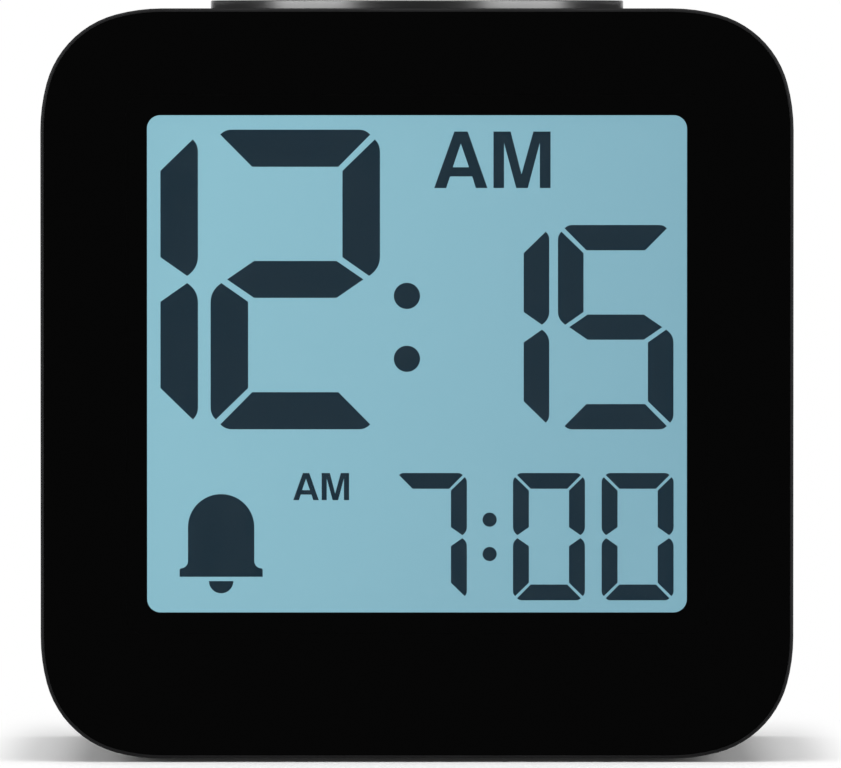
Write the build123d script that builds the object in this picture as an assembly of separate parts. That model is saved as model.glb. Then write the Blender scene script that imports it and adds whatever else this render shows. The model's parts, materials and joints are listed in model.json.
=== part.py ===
from build123d import *

import os
from math import cos, radians, sin, sqrt, tan, tau

# Talking alarm clock: a soft square case behind a flat window, a liquid crystal
# display, a round button on top that makes the clock speak, and a back panel with
# the loudspeaker, the setting keys, two slides and the battery bay.
# Millimetres, +Z up. The front faces -Y and the origin is on the table, under the
# middle of the case.

# Front: the display opening and the borders around it
WINDOW_WIDTH = 54.6
WINDOW_HEIGHT = 50.3
WINDOW_CORNER = 1.35
BEZEL_SIDE = 10.75
BEZEL_TOP = 10.8
BEZEL_BOTTOM = 14.75

# Case: each corner is three arcs, an easy lead at both ends and a tighter middle
CORNER_RADIUS = 9.9
LEAD_RADIUS = 18.2
LEAD_ANGLE = 15.0
SIDE_WALL = 2.0
FRONT_WALL = 1.8
RIM_WIDTH = 0.38
RIM_ROUND = 0.3
REAR_LIP = 1.2
REAR_ROUND = 0.8
REAR_RECESS = 1.3
REAR_PLATE = 2.0
REAR_FIT = 0.12
OVERRUN = 1.0

# Window, printed mask and display stack
LENS_THICKNESS = 2.0
LENS_DRAFT = 0.45
LENS_FIT = 0.04
MASK_THICKNESS = 0.2
MASK_SETBACK = 0.3
WINDOW_MARGIN = 0.6
POLARISER_THICKNESS = 0.2
POLARISER_LAP = 0.3
GLASS_THICKNESS = 1.1
GLASS_SIDE_BORDER = 1.9
GLASS_END_BORDER = 1.0
CONTACT_LEDGE = 1.8
GUIDE_THICKNESS = 3.0
FRAME_WALL = 1.0
FRAME_FIT = 0.15
ZEBRA_FIT = 0.1
ZEBRA_END_GAP = 2.0
LED_DEPTH = 1.2
LED_WIDTH = 3.0
LED_HEIGHT = 1.8
LED_FIT = 0.2

# Main board, its posts and what stands on its back
BOARD_THICKNESS = 1.6
BOARD_GAP = 0.8
BOARD_POST_RADIUS = 1.9
BOARD_POST_SPREAD = 40.0
CHIP_BLOB_RADIUS = 6.0
CHIP_BLOB_HEIGHT = 1.8
VOICE_CHIP_WIDTH = 10.0
VOICE_CHIP_HEIGHT = 7.5
VOICE_CHIP_THICKNESS = 2.0
CRYSTAL_RADIUS = 1.0
CRYSTAL_LENGTH = 6.0
CAPACITOR_RADIUS = 2.5
CAPACITOR_LENGTH = 7.0
CONNECTOR_WIDTH = 6.0
CONNECTOR_DEPTH = 4.5
CONNECTOR_HEIGHT = 5.0
CHIP_BLOB_SHARES = (-0.25, 0.36)
VOICE_CHIP_SHARES = (0.26, 0.36)
CRYSTAL_SHARES = (-0.10, 0.02)
CAPACITOR_SHARES = ((0.62, 0.44), (0.62, 0.18))
SPEAKER_SOCKET_SHARES = (0.0, 0.22)
BATTERY_SOCKET_SHARES = (0.66, -0.52)
TALK_SOCKET_SHARES = (0.0, 0.70)

# Screws: small ones hold the boards and the bracket, larger ones the back panel
SMALL_SHANK_RADIUS = 0.9
SMALL_HEAD_RADIUS = 1.7
SMALL_HEAD_HEIGHT = 1.1
SMALL_SCREW_LENGTH = 4.6
PANEL_SHANK_RADIUS = 1.25
PANEL_HEAD_RADIUS = 2.3
PANEL_HEAD_HEIGHT = 1.1
PANEL_SCREW_LENGTH = 8.0
PANEL_SCREW_SEAT = 0.8
SCREW_FIT = 0.05
SCREW_CLEARANCE = 0.3
HEAD_ROUND = 0.35
CROSS_WIDTH_SHARE = 0.32
CROSS_LENGTH_SHARE = 1.5
CROSS_DEPTH_SHARE = 0.6
BOSS_RADIUS = 3.0
BOSS_LENGTH = 12.0
BOSS_SETBACK = 8.0
BOSS_RIB = 1.4

# Top button, its guide in the case, springs, switch dome and bracket
BUTTON_RADIUS = 21.2
BUTTON_MARGIN = 4.8
BUTTON_TRAVEL = 0.8
BUTTON_PRESSED_PROUD = 0.05
BUTTON_FIT = 0.25
BUTTON_WALL = 2.0
BUTTON_SKIRT = 1.5
BUTTON_ROUND = 0.4
DISH_MARGIN = 2.4
DISH_DEPTH = 0.6
COLLAR_WALL = 1.0
COLLAR_DROP = 1.2
HOOK_REACH = 0.95
HOOK_HEIGHT = 1.0
HOOK_WIDTH = 5.0
HOOK_GAP = 0.05
HOOK_ANGLES = (45.0, 135.0, 225.0, 315.0)
GUIDE_PIN_RADIUS = 1.5
GUIDE_PIN_CIRCLE = 13.5
GUIDE_PIN_TAIL = 1.2
GUIDE_PIN_FIT = 0.15
GUIDE_PIN_ANGLES = (90.0, 210.0, 330.0)
SPRING_COIL_RADIUS = 2.5
SPRING_WIRE_RADIUS = 0.22
SPRING_TURNS = 4
SPRING_END_GAP = 0.05
ACTUATOR_RADIUS = 2.2
DOME_BASE_RADIUS = 4.4
DOME_BASE_HEIGHT = 0.6
DOME_SHOULDER_RADIUS = 3.5
DOME_TOP_RADIUS = 2.4
DOME_HEIGHT = 3.2
DOME_WALL = 0.6
TALK_BOARD_WIDTH = 12.0
TALK_BOARD_DEPTH = 11.0
TALK_BOARD_THICKNESS = 1.2
BRACKET_DROP = 4.3
BRACKET_THICKNESS = 2.0
BRACKET_ARM_DEPTH = 8.0
BRACKET_EDGE = 3.0
HANGER_RADIUS = 2.4
HANGER_GAP = 0.8

# Loudspeaker and its seat on the back panel
SPEAKER_TOP_ROOM = 7.25
SPEAKER_RADIUS = 14.0
SPEAKER_FLANGE = 2.0
SPEAKER_FLANGE_THICKNESS = 1.0
SPEAKER_DEPTH = 4.5
SPEAKER_BACK_RADIUS = 9.5
SPEAKER_SHEET = 0.8
MAGNET_RADIUS = 7.5
MAGNET_HEIGHT = 4.0
GASKET_THICKNESS = 0.8
CONE_SETBACK = 0.3
CONE_DEPTH = 2.0
CONE_SHEET = 0.3
DUST_CAP_RADIUS = 4.0
DUST_CAP_RISE = 1.0
SPEAKER_FIT = 0.2
SPEAKER_WALL = 1.2
SPEAKER_GAP = 1.0
SPEAKER_CATCH_REACH = 0.8
SPEAKER_CATCH_HEIGHT = 0.8
SPEAKER_CATCH_WIDTH = 4.0
SPEAKER_CATCH_GAP = 0.05
SPEAKER_CATCH_ANGLES = (60.0, 180.0, 300.0)
GRILLE_HOLE_RADIUS = 0.75
GRILLE_PITCH = 2.9
GRILLE_RINGS = 3

# Setting keys, their switches and the two key boards
KEY_RADIUS = 3.1
KEY_FIT = 0.15
KEY_FLANGE = 0.8
KEY_FLANGE_THICKNESS = 1.0
KEY_FLANGE_GAP = 0.05
KEY_PROUD = 0.8
KEY_ROUND = 0.35
KEY_TRAVEL = 0.35
KEY_PITCH = 9.6
KEY_BOARD_GAP = 0.5
KEY_BOARD_THICKNESS = 1.6
KEY_END_MARGIN = 5.0
SWITCH_WIDTH = 6.0
SWITCH_HEIGHT = 3.5
PLUNGER_RADIUS = 1.7
PLUNGER_RISE = 1.0
PLUNGER_ENGAGEMENT = 1.2
PLUNGER_FIT = 0.06
KEY_POST_RADIUS = 1.5
KEY_POST_OFFSET = 3.5
KEY_SCREW_LENGTH = 4.2

# Alarm and volume slides
SLIDE_TRAVEL = 3.0
SLIDE_FIT = 0.15
KNOB_WIDTH = 4.0
KNOB_HEIGHT = 3.6
KNOB_ROUND = 0.3
KNOB_FLANGE = 0.8
KNOB_GRIP_COUNT = 3
KNOB_GRIP_WIDTH = 0.5
KNOB_GRIP_DEPTH = 0.3
SLIDE_BODY_MARGIN = 2.0
SLIDE_BODY_HEIGHT = 3.0
SLIDE_BODY_DEPTH = 4.0
SLIDER_WIDTH = 1.6
SLIDER_SOCKET = 0.6
SLIDER_ENGAGEMENT = 1.2
SLIDER_FIT = 0.06

# Batteries, their bay, contacts and door
CELL_RADIUS = 5.25
CELL_LENGTH = 44.5
CELL_NUB_RADIUS = 1.9
CELL_NUB_HEIGHT = 1.0
CELL_ROUND = 0.4
CELL_GAP = 0.5
BAY_WALL = 1.4
BAY_FLOOR = 1.4
CONTACT_THICKNESS = 0.4
CONTACT_WIDTH = 7.6
CONTACT_TAB_WIDTH = 2.0
CONTACT_TAB_PROUD = 2.0
CONTACT_TAB_FIT = 0.15
CELL_SPRING_ROOM = 4.4
CELL_SPRING_BASE_RADIUS = 3.2
CELL_SPRING_TIP_RADIUS = 2.2
CELL_SPRING_WIRE_RADIUS = 0.25
CELL_SPRING_TURNS = 3
DOOR_THICKNESS = 1.6
DOOR_FIT = 0.2
DOOR_LEDGE = 1.0
DOOR_TAB_WIDTH = 6.0
DOOR_TAB_SPACING = 32.0
DOOR_TAB_THICKNESS = 1.0
DOOR_TAB_REACH = 1.2
DOOR_TAB_GAP = 0.15
DOOR_TAB_ROOT = 2.0
DOOR_TAB_SWING = 2.4
LATCH_WIDTH = 10.0
LATCH_LENGTH = 6.0
LATCH_SLIT = 0.7
LATCH_RIB_COUNT = 3
LATCH_RIB_RADIUS = 0.45
LATCH_RIB_PITCH = 1.5
LATCH_RIB_MARGIN = 1.0
SCOOP_RADIUS = 5.5
SCOOP_DEPTH = 0.9

# Base pad and inner wiring
PAD_PROUD = 0.35
PAD_THICKNESS = 1.0
PAD_WIDTH = 48.0
PAD_DEPTH = 38.0
PAD_CORNER = 5.0
PAD_FIT = 0.1
LEAD_WIRE_RADIUS = 0.45
BEND_SHARE = 0.45
LEAD_PITCH = 2.5
LEAD_STUB = 7.0
LEAD_SAG = 3.0
LEAD_RISE = 0.2
RIBBON_WIDTH = 5.0
RIBBON_THICKNESS = 0.8
RIBBON_STUB = 7.0
RIBBON_STEP = 5.0

# Overall sizes and places that follow from the sizes above
BODY_WIDTH = WINDOW_WIDTH + 2 * BEZEL_SIDE
BODY_HEIGHT = BEZEL_BOTTOM + WINDOW_HEIGHT + BEZEL_TOP
BODY_DEPTH = 2 * (BUTTON_RADIUS + BUTTON_MARGIN)
FRONT_Y = -BODY_DEPTH / 2
BACK_Y = BODY_DEPTH / 2
BODY_BOTTOM = PAD_PROUD
BODY_TOP = BODY_BOTTOM + BODY_HEIGHT
BODY_MIDDLE = (BODY_BOTTOM + BODY_TOP) / 2
WINDOW_Z = BODY_BOTTOM + BEZEL_BOTTOM + WINDOW_HEIGHT / 2
INNER_HALF_WIDTH = BODY_WIDTH / 2 - SIDE_WALL

# Front stack, from the window backwards
MASK_Y = FRONT_Y + LENS_THICKNESS
WALL_Y = MASK_Y + MASK_THICKNESS
CAVITY_Y = WALL_Y + FRONT_WALL
REAR_GLASS_Y = CAVITY_Y + GLASS_THICKNESS
REAR_FILM_Y = REAR_GLASS_Y + GLASS_THICKNESS
GUIDE_Y = REAR_FILM_Y + POLARISER_THICKNESS
BOARD_Y = GUIDE_Y + GUIDE_THICKNESS
BOARD_BACK_Y = BOARD_Y + BOARD_THICKNESS
GLASS_WIDTH = WINDOW_WIDTH + 2 * GLASS_SIDE_BORDER
REAR_GLASS_HEIGHT = WINDOW_HEIGHT + 2 * GLASS_END_BORDER
GLASS_HEIGHT = REAR_GLASS_HEIGHT + 2 * CONTACT_LEDGE
FRAME_WIDTH = GLASS_WIDTH + 2 * (FRAME_FIT + FRAME_WALL)
FRAME_HEIGHT = GLASS_HEIGHT + 2 * (FRAME_FIT + FRAME_WALL)
BOARD_POST_X = (FRAME_WIDTH / 2 + INNER_HALF_WIDTH) / 2

# Back panel and what it carries
REAR_SEAT_Y = BACK_Y - REAR_RECESS - REAR_PLATE
REAR_FACE_Y = BACK_Y - REAR_RECESS
BOSS_X = BODY_WIDTH / 2 - BOSS_SETBACK
BOSS_LOW_Z = BODY_BOTTOM + BOSS_SETBACK
BOSS_HIGH_Z = BODY_TOP - BOSS_SETBACK

# Loudspeaker, below the case top
SPEAKER_SEAT_RADIUS = SPEAKER_RADIUS + SPEAKER_FIT
SPEAKER_OUTER_RADIUS = SPEAKER_SEAT_RADIUS + SPEAKER_WALL
SPEAKER_Z = BODY_TOP - SPEAKER_TOP_ROOM - SPEAKER_OUTER_RADIUS
SPEAKER_FACE_Y = REAR_SEAT_Y - GASKET_THICKNESS
SPEAKER_BACK_Y = SPEAKER_FACE_Y - SPEAKER_DEPTH
SPEAKER_CATCH_Y = SPEAKER_FACE_Y - SPEAKER_FLANGE_THICKNESS - SPEAKER_CATCH_GAP
CONE_RADIUS = SPEAKER_RADIUS - SPEAKER_FLANGE

# Battery bay, below the loudspeaker
BAY_LENGTH = CELL_LENGTH + CELL_SPRING_ROOM + 2 * CONTACT_THICKNESS
BAY_HEIGHT = 4 * CELL_RADIUS + 3 * CELL_GAP
BAY_TOP = SPEAKER_Z - SPEAKER_OUTER_RADIUS - SPEAKER_GAP - BAY_WALL
BAY_BOTTOM = BAY_TOP - BAY_HEIGHT
BAY_END_X = BAY_LENGTH / 2
DOOR_INNER_Y = REAR_FACE_Y - DOOR_THICKNESS
CELL_Y = DOOR_INNER_Y - CELL_GAP - CELL_RADIUS
BAY_FLOOR_Y = CELL_Y - CELL_RADIUS - CELL_GAP
CELL_LOW_Z = BAY_BOTTOM + CELL_GAP + CELL_RADIUS
CELL_HIGH_Z = BAY_TOP - CELL_GAP - CELL_RADIUS
CONTACT_X = BAY_END_X - CONTACT_THICKNESS
CONTACT_TAB_Y = BAY_FLOOR_Y - BAY_FLOOR - CONTACT_TAB_PROUD
DOOR_WIDTH = BAY_LENGTH + 2 * DOOR_LEDGE
DOOR_BOTTOM = BAY_BOTTOM - DOOR_LEDGE
DOOR_TOP = BAY_TOP + DOOR_LEDGE
DOOR_AXIS_Y = REAR_FACE_Y - DOOR_THICKNESS / 2
DOOR_AXIS_Z = DOOR_BOTTOM + DOOR_THICKNESS / 2
DOOR_TAB_Y = REAR_SEAT_Y - DOOR_TAB_GAP

# Key columns, between the loudspeaker and the screw bosses
KEY_BOARD_INNER_X = SPEAKER_OUTER_RADIUS + KEY_BOARD_GAP
KEY_BOARD_OUTER_X = BOSS_X - BOSS_RADIUS - KEY_BOARD_GAP
KEY_X = (KEY_BOARD_INNER_X + KEY_BOARD_OUTER_X) / 2
KEY_FLANGE_BACK_Y = REAR_SEAT_Y - KEY_FLANGE_GAP
KEY_FLANGE_FRONT_Y = KEY_FLANGE_BACK_Y - KEY_FLANGE_THICKNESS
SWITCH_TOP_Y = KEY_FLANGE_FRONT_Y - PLUNGER_RISE
KEY_BOARD_BACK_Y = SWITCH_TOP_Y - SWITCH_HEIGHT
KEY_BOARD_Y = KEY_BOARD_BACK_Y - KEY_BOARD_THICKNESS
KEY_BOARD_BOTTOM = BAY_TOP + BAY_WALL + KEY_BOARD_GAP
LOW_KEY_Z = KEY_BOARD_BOTTOM + KEY_END_MARGIN
HIGH_KEY_Z = LOW_KEY_Z + KEY_PITCH
SLIDE_Z = HIGH_KEY_Z + KEY_PITCH
KEY_BOARD_TOP = SLIDE_Z + SLIDE_BODY_DEPTH / 2 + KEY_BOARD_GAP
SLIDE_BODY_TOP_Y = KEY_BOARD_BACK_Y + SLIDE_BODY_HEIGHT
SLIDE_BODY_WIDTH = SLIDER_WIDTH + SLIDE_TRAVEL + 2 * SLIDE_BODY_MARGIN
KEY_PLACES = {
    "time_key": (-KEY_X, HIGH_KEY_Z),
    "alarm_key": (-KEY_X, LOW_KEY_Z),
    "plus_key": (KEY_X, HIGH_KEY_Z),
    "minus_key": (KEY_X, LOW_KEY_Z),
}
SLIDE_PLACES = {
    "alarm": (-KEY_X - SLIDE_TRAVEL / 2, -KEY_X),
    "volume": (KEY_X - SLIDE_TRAVEL / 2, KEY_X),
}

# Top button, from the case top downwards
BUTTON_TOP = BODY_TOP + BUTTON_TRAVEL + BUTTON_PRESSED_PROUD
BUTTON_UNDERSIDE = BUTTON_TOP - BUTTON_WALL
COLLAR_RADIUS = BUTTON_RADIUS + BUTTON_FIT
COLLAR_BOTTOM = BODY_TOP - SIDE_WALL - COLLAR_DROP
SKIRT_BOTTOM = COLLAR_BOTTOM - HOOK_GAP - HOOK_HEIGHT
BRACKET_TOP = COLLAR_BOTTOM - BRACKET_DROP
BRACKET_BOTTOM = BRACKET_TOP - BRACKET_THICKNESS
TALK_BOARD_TOP = BRACKET_TOP + TALK_BOARD_THICKNESS
DOME_TOP = TALK_BOARD_TOP + DOME_HEIGHT
HANGER_X = COLLAR_RADIUS + COLLAR_WALL + HANGER_GAP + HANGER_RADIUS
GUIDE_PIN_PLACES = [
    (GUIDE_PIN_CIRCLE * cos(radians(angle)), GUIDE_PIN_CIRCLE * sin(radians(angle)))
    for angle in GUIDE_PIN_ANGLES
]


# Basic shapes
def around(middle, width):
    """The span of this width about a middle value."""
    return (middle - width / 2, middle + width / 2)


def block(x_span, y_span, z_span):
    """A box between two values on each axis."""
    spans = (x_span, y_span, z_span)
    middles = [(low + high) / 2 for low, high in spans]
    sizes = [high - low for low, high in spans]
    return Pos(*middles) * Box(*sizes)


def rod_x(radius, x_span, y, z):
    """A round rod along X."""
    low, high = x_span
    return Pos((low + high) / 2, y, z) * Rot(Y=90) * Cylinder(radius, high - low)


def rod_y(radius, y_span, x, z):
    """A round rod along Y."""
    low, high = y_span
    return Pos(x, (low + high) / 2, z) * Rot(X=90) * Cylinder(radius, high - low)


def rod_z(radius, z_span, x=0, y=0):
    """A round rod along Z."""
    low, high = z_span
    return Pos(x, y, (low + high) / 2) * Cylinder(radius, high - low)


def upright(y):
    """The plane at this depth whose own axes are X and Z."""
    return Plane((0, y, 0), x_dir=(1, 0, 0), z_dir=(0, -1, 0))


def slab(profile, y_span):
    """A profile drawn in X and Z, carried through a span of Y."""
    low, high = y_span
    return extrude(upright(low) * profile, amount=high - low, dir=(0, 1, 0))


def soft_square(inset):
    """The case outline, taken in by inset: four sides and four three-arc corners."""
    half_width = BODY_WIDTH / 2 - inset
    half_height = BODY_HEIGHT / 2 - inset
    lead = LEAD_RADIUS - inset
    tight = CORNER_RADIUS - inset
    sine = sin(radians(LEAD_ANGLE))
    cosine = cos(radians(LEAD_ANGLE))
    reach = lead * (1 + sine - cosine) + tight * (cosine - sine)
    corners = (
        (Vector(half_width, half_height), Vector(1, 0)),
        (Vector(half_width, -half_height), Vector(0, -1)),
        (Vector(-half_width, -half_height), Vector(-1, 0)),
        (Vector(-half_width, half_height), Vector(0, 1)),
    )
    edges = []
    ends = []
    for vertex, along in corners:
        across = Vector(along.Y, -along.X)
        start = vertex - along * reach
        first = start + along * (lead * sine) + across * (lead * (1 - cosine))
        second = first + (along + across) * (tight * (cosine - sine))
        end = vertex + across * reach
        edges.append(Edge.make_tangent_arc(start, along, first))
        edges.append(Edge.make_tangent_arc(first, along * cosine + across * sine, second))
        edges.append(Edge.make_tangent_arc(second, along * sine + across * cosine, end))
        ends.append((start, end))
    for (_, end), (start, _) in zip(ends, ends[1:] + ends[:1]):
        edges.append(Edge.make_line(end, start))
    return Pos(0, BODY_MIDDLE) * make_face(edges)


def window_shape(margin):
    """The display opening, wider by a margin all round."""
    width = WINDOW_WIDTH + 2 * margin
    height = WINDOW_HEIGHT + 2 * margin
    return Pos(0, WINDOW_Z) * RectangleRounded(width, height, WINDOW_CORNER + margin)


def lens_shape(gap):
    """The window's drafted plate, wider by a gap at its edge."""
    front = upright(FRONT_Y) * soft_square(RIM_WIDTH - gap)
    back = upright(MASK_Y) * soft_square(RIM_WIDTH + LENS_DRAFT - gap)
    return loft([front, back], ruled=True)


def ring_y(outer, inner, y_span, x, z):
    """A flat ring about an axis along Y."""
    low, high = y_span
    return rod_y(outer, y_span, x, z) - rod_y(inner, (low - OVERRUN, high + OVERRUN), x, z)


def turned_y(points, z):
    """A profile of (radius, y) points turned about the Y axis at this height."""
    profile = Pos(0, 0, z) * make_face(Polyline(*points, close=True))
    return revolve(profile, axis=Axis((0, 0, z), (0, 1, 0)))


def screw(shank_radius, head_radius, head_height, length):
    """A cross-head screw: its seat at the origin, its head towards +Z."""
    head = rod_z(head_radius, (0, head_height))
    head = fillet(head.edges().sort_by(Axis.Z)[-1], HEAD_ROUND)
    cross_width = head_radius * CROSS_WIDTH_SHARE
    cross_length = head_radius * CROSS_LENGTH_SHARE
    cross_span = (head_height * (1 - CROSS_DEPTH_SHARE), head_height + OVERRUN)
    head -= block(around(0, cross_length), around(0, cross_width), cross_span)
    head -= block(around(0, cross_width), around(0, cross_length), cross_span)
    return head + rod_z(shank_radius, (-length, 0))


def small_screw(length):
    """A screw for the boards and the bracket."""
    return screw(SMALL_SHANK_RADIUS, SMALL_HEAD_RADIUS, SMALL_HEAD_HEIGHT, length)


def joined_arcs(start, start_along, end, end_along):
    """Two arcs that join two points smoothly, each leaving along its given direction."""
    chord = end - start
    total = start_along + end_along
    spread = 2 * (1 - start_along.dot(end_along))
    lean = chord.dot(total)
    reach = (sqrt(lean * lean + spread * chord.dot(chord)) - lean) / spread
    joint = (start + start_along * reach + end - end_along * reach) * 0.5
    turn = (end - end_along * reach - start - start_along * reach).normalized()
    return [
        Edge.make_tangent_arc(start, start_along, joint),
        Edge.make_tangent_arc(joint, turn, end),
    ]


def coil(base_radius, tip_radius, height, turns, wire_radius):
    """A wire wound upwards from the origin about Z, in quarter turns of two arcs each."""
    quarters = 4 * turns
    rise = height / quarters
    narrowing = (tip_radius - base_radius) / quarters
    points = []
    directions = []
    for step in range(quarters + 1):
        angle = tau / 4 * step
        radius = base_radius + narrowing * step
        outward = Vector(cos(angle), sin(angle), 0)
        forward = Vector(-sin(angle), cos(angle), 0)
        points.append(outward * radius + Vector(0, 0, rise * step))
        slope = forward * (radius * tau / 4) + outward * narrowing + Vector(0, 0, rise)
        directions.append(slope.normalized())
    edges = []
    for step in range(quarters):
        edges += joined_arcs(points[step], directions[step], points[step + 1], directions[step + 1])
    # Only points three quarter turns apart or more lie on different turns
    gaps = [
        (points[far] - points[near]).length - 2 * wire_radius
        for near in range(quarters)
        for far in range(near + 3, quarters + 1)
    ]
    print("coil: least gap between turns", round(min(gaps), 2))
    section = Plane(points[0], z_dir=directions[0]) * Circle(wire_radius)
    return sweep(section, path=Wire(edges))


def routed(points, section):
    """A lead along straight runs, with each bend as wide as its shorter run allows."""
    route = [Vector(*point) for point in points]
    runs = [after - before for before, after in zip(route, route[1:])]
    radii = []
    for before, after in zip(runs, runs[1:]):
        half_turn = radians(before.get_angle(after)) / 2
        radii.append(BEND_SHARE * min(before.length, after.length) / tan(half_turn))
    print("lead: bend radii", [round(radius, 1) for radius in radii])
    start = Plane(route[0], x_dir=(0, 0, 1), z_dir=runs[0])
    return sweep(start * section, path=FilletPolyline(*route, radius=radii))


# Case
def corner_bosses():
    """Four screw bosses for the back panel, each ribbed to the case wall."""
    y_span = (REAR_SEAT_Y - BOSS_LENGTH, REAR_SEAT_Y)
    bosses = []
    for side in (-1, 1):
        for z, end in ((BOSS_LOW_Z, BODY_BOTTOM), (BOSS_HIGH_Z, BODY_TOP)):
            x = side * BOSS_X
            wall = side * BODY_WIDTH / 2
            bosses.append(rod_y(BOSS_RADIUS, y_span, x, z))
            bosses.append(block(sorted((x, wall)), y_span, around(z, BOSS_RIB)))
            bosses.append(block(around(x, BOSS_RIB), y_span, sorted((z, end))))
    return bosses


def board_post_places():
    """Where the main board is screwed down, in X and Z."""
    heights = around(WINDOW_Z, BOARD_POST_SPREAD)
    return [(side * BOARD_POST_X, z) for side in (-1, 1) for z in heights]


def front_housing():
    """The case: front wall, four sides, rim round the window and all its bosses."""
    case = slab(soft_square(0), (FRONT_Y, BACK_Y))
    case = fillet(case.faces().sort_by(Axis.Y)[0].edges(), RIM_ROUND)
    case = fillet(case.faces().sort_by(Axis.Y)[-1].edges(), REAR_ROUND)
    case -= slab(soft_square(SIDE_WALL), (CAVITY_Y, BACK_Y + OVERRUN))
    inner = corner_bosses()
    for x, z in board_post_places():
        inner.append(rod_y(BOARD_POST_RADIUS, (WALL_Y, BOARD_Y), x, z))
    inner.append(rod_z(COLLAR_RADIUS + COLLAR_WALL, (COLLAR_BOTTOM, BODY_TOP)))
    for side in (-1, 1):
        inner.append(rod_z(HANGER_RADIUS, (BRACKET_TOP, BODY_TOP), side * HANGER_X))
    envelope = slab(soft_square(SIDE_WALL / 2), ((WALL_Y + CAVITY_Y) / 2, BACK_Y))
    case += (Part() + inner) & envelope
    case -= slab(soft_square(REAR_LIP), (REAR_SEAT_Y, BACK_Y + OVERRUN))
    case -= lens_shape(LENS_FIT)
    case -= slab(soft_square(RIM_WIDTH + LENS_DRAFT - LENS_FIT), (MASK_Y, WALL_Y))
    case -= slab(window_shape(WINDOW_MARGIN), (WALL_Y - OVERRUN, CAVITY_Y + OVERRUN))
    case -= rod_z(COLLAR_RADIUS, (COLLAR_BOTTOM - OVERRUN, BODY_TOP + OVERRUN))
    hole = SMALL_SHANK_RADIUS + SCREW_FIT
    for x, z in board_post_places():
        case -= rod_y(hole, (BOARD_BACK_Y - SMALL_SCREW_LENGTH - SCREW_CLEARANCE, BOARD_Y + OVERRUN), x, z)
    for side in (-1, 1):
        hanger_top = BRACKET_BOTTOM + SMALL_SCREW_LENGTH + SCREW_CLEARANCE
        case -= rod_z(hole, (BRACKET_TOP - OVERRUN, hanger_top), side * HANGER_X)
        for z in (BOSS_LOW_Z, BOSS_HIGH_Z):
            tip = REAR_SEAT_Y + PANEL_SCREW_SEAT - PANEL_SCREW_LENGTH - SCREW_CLEARANCE
            case -= rod_y(PANEL_SHANK_RADIUS + SCREW_FIT, (tip, REAR_SEAT_Y + OVERRUN), side * BOSS_X, z)
    return case - pad_shape(PAD_FIT, BODY_BOTTOM - OVERRUN)


def pad_shape(gap, bottom):
    """The base pad's outline with a gap at its edge, up to the pad's seat in the case."""
    width = PAD_WIDTH + 2 * gap
    depth = PAD_DEPTH + 2 * gap
    outline = Pos(0, 0, bottom) * RectangleRounded(width, depth, PAD_CORNER + gap)
    return extrude(outline, amount=PAD_THICKNESS - bottom, dir=(0, 0, 1))


# Window and display
def lens_mask():
    """The black printed layer behind the window, open over the display."""
    sheet = slab(soft_square(RIM_WIDTH + LENS_DRAFT + MASK_SETBACK), (MASK_Y, WALL_Y))
    return sheet - slab(window_shape(0), (MASK_Y - OVERRUN, WALL_Y + OVERRUN))


def lcd_front_polariser():
    """The display's front film, inside the opening of the case wall."""
    return slab(window_shape(POLARISER_LAP), (CAVITY_Y - POLARISER_THICKNESS, CAVITY_Y))


def lcd_cell():
    """Two glass plates: the front one is taller and carries the contacts."""
    x_span = around(0, GLASS_WIDTH)
    front = block(x_span, (CAVITY_Y, REAR_GLASS_Y), around(WINDOW_Z, GLASS_HEIGHT))
    return front + block(x_span, (REAR_GLASS_Y, REAR_FILM_Y), around(WINDOW_Z, REAR_GLASS_HEIGHT))


def lcd_rear_film():
    """The film behind the glass that returns daylight and passes the backlight."""
    z_span = around(WINDOW_Z, REAR_GLASS_HEIGHT)
    return block(around(0, GLASS_WIDTH), (REAR_FILM_Y, GUIDE_Y), z_span)


def light_guide():
    """The clear backlight plate, notched at both sides for its two lamps."""
    plate = block(around(0, GLASS_WIDTH), (GUIDE_Y, BOARD_Y), around(WINDOW_Z, REAR_GLASS_HEIGHT))
    notch = LED_DEPTH + 2 * LED_FIT
    for side in (-1, 1):
        edge = side * GLASS_WIDTH / 2
        x_span = sorted((edge - side * notch, edge + side * OVERRUN))
        y_span = (GUIDE_Y - OVERRUN, BOARD_Y + OVERRUN)
        plate -= block(x_span, y_span, around(WINDOW_Z, LED_WIDTH + 2 * LED_FIT))
    return plate


def backlight_leds():
    """Two small lamps on the main board, in the notches of the light guide."""
    y_span = (BOARD_Y - LED_HEIGHT, BOARD_Y)
    lamps = []
    for side in (-1, 1):
        edge = side * (GLASS_WIDTH / 2 - LED_FIT)
        lamps.append(block(sorted((edge, edge - side * LED_DEPTH)), y_span, around(WINDOW_Z, LED_WIDTH)))
    return Compound(children=lamps)


def lcd_frame():
    """The frame that holds the display stack between the case wall and the board."""
    outer = block(around(0, FRAME_WIDTH), (CAVITY_Y, BOARD_Y), around(WINDOW_Z, FRAME_HEIGHT))
    width = GLASS_WIDTH + 2 * FRAME_FIT
    height = GLASS_HEIGHT + 2 * FRAME_FIT
    return outer - block(
        around(0, width), (CAVITY_Y - OVERRUN, BOARD_Y + OVERRUN), around(WINDOW_Z, height)
    )


def zebra_strips():
    """The two rubber strips that join the glass contacts to the board."""
    x_span = around(0, GLASS_WIDTH - 2 * ZEBRA_END_GAP)
    strips = []
    for side in (-1, 1):
        middle = WINDOW_Z + side * (REAR_GLASS_HEIGHT + CONTACT_LEDGE) / 2
        z_span = around(middle, CONTACT_LEDGE - 2 * ZEBRA_FIT)
        strips.append(block(x_span, (REAR_GLASS_Y, BOARD_Y), z_span))
    return Compound(children=strips)


# Main board
def board_place(shares):
    """A place on the main board from shares of its half width and half height."""
    return (INNER_HALF_WIDTH * shares[0], WINDOW_Z + FRAME_HEIGHT / 2 * shares[1])


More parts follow.
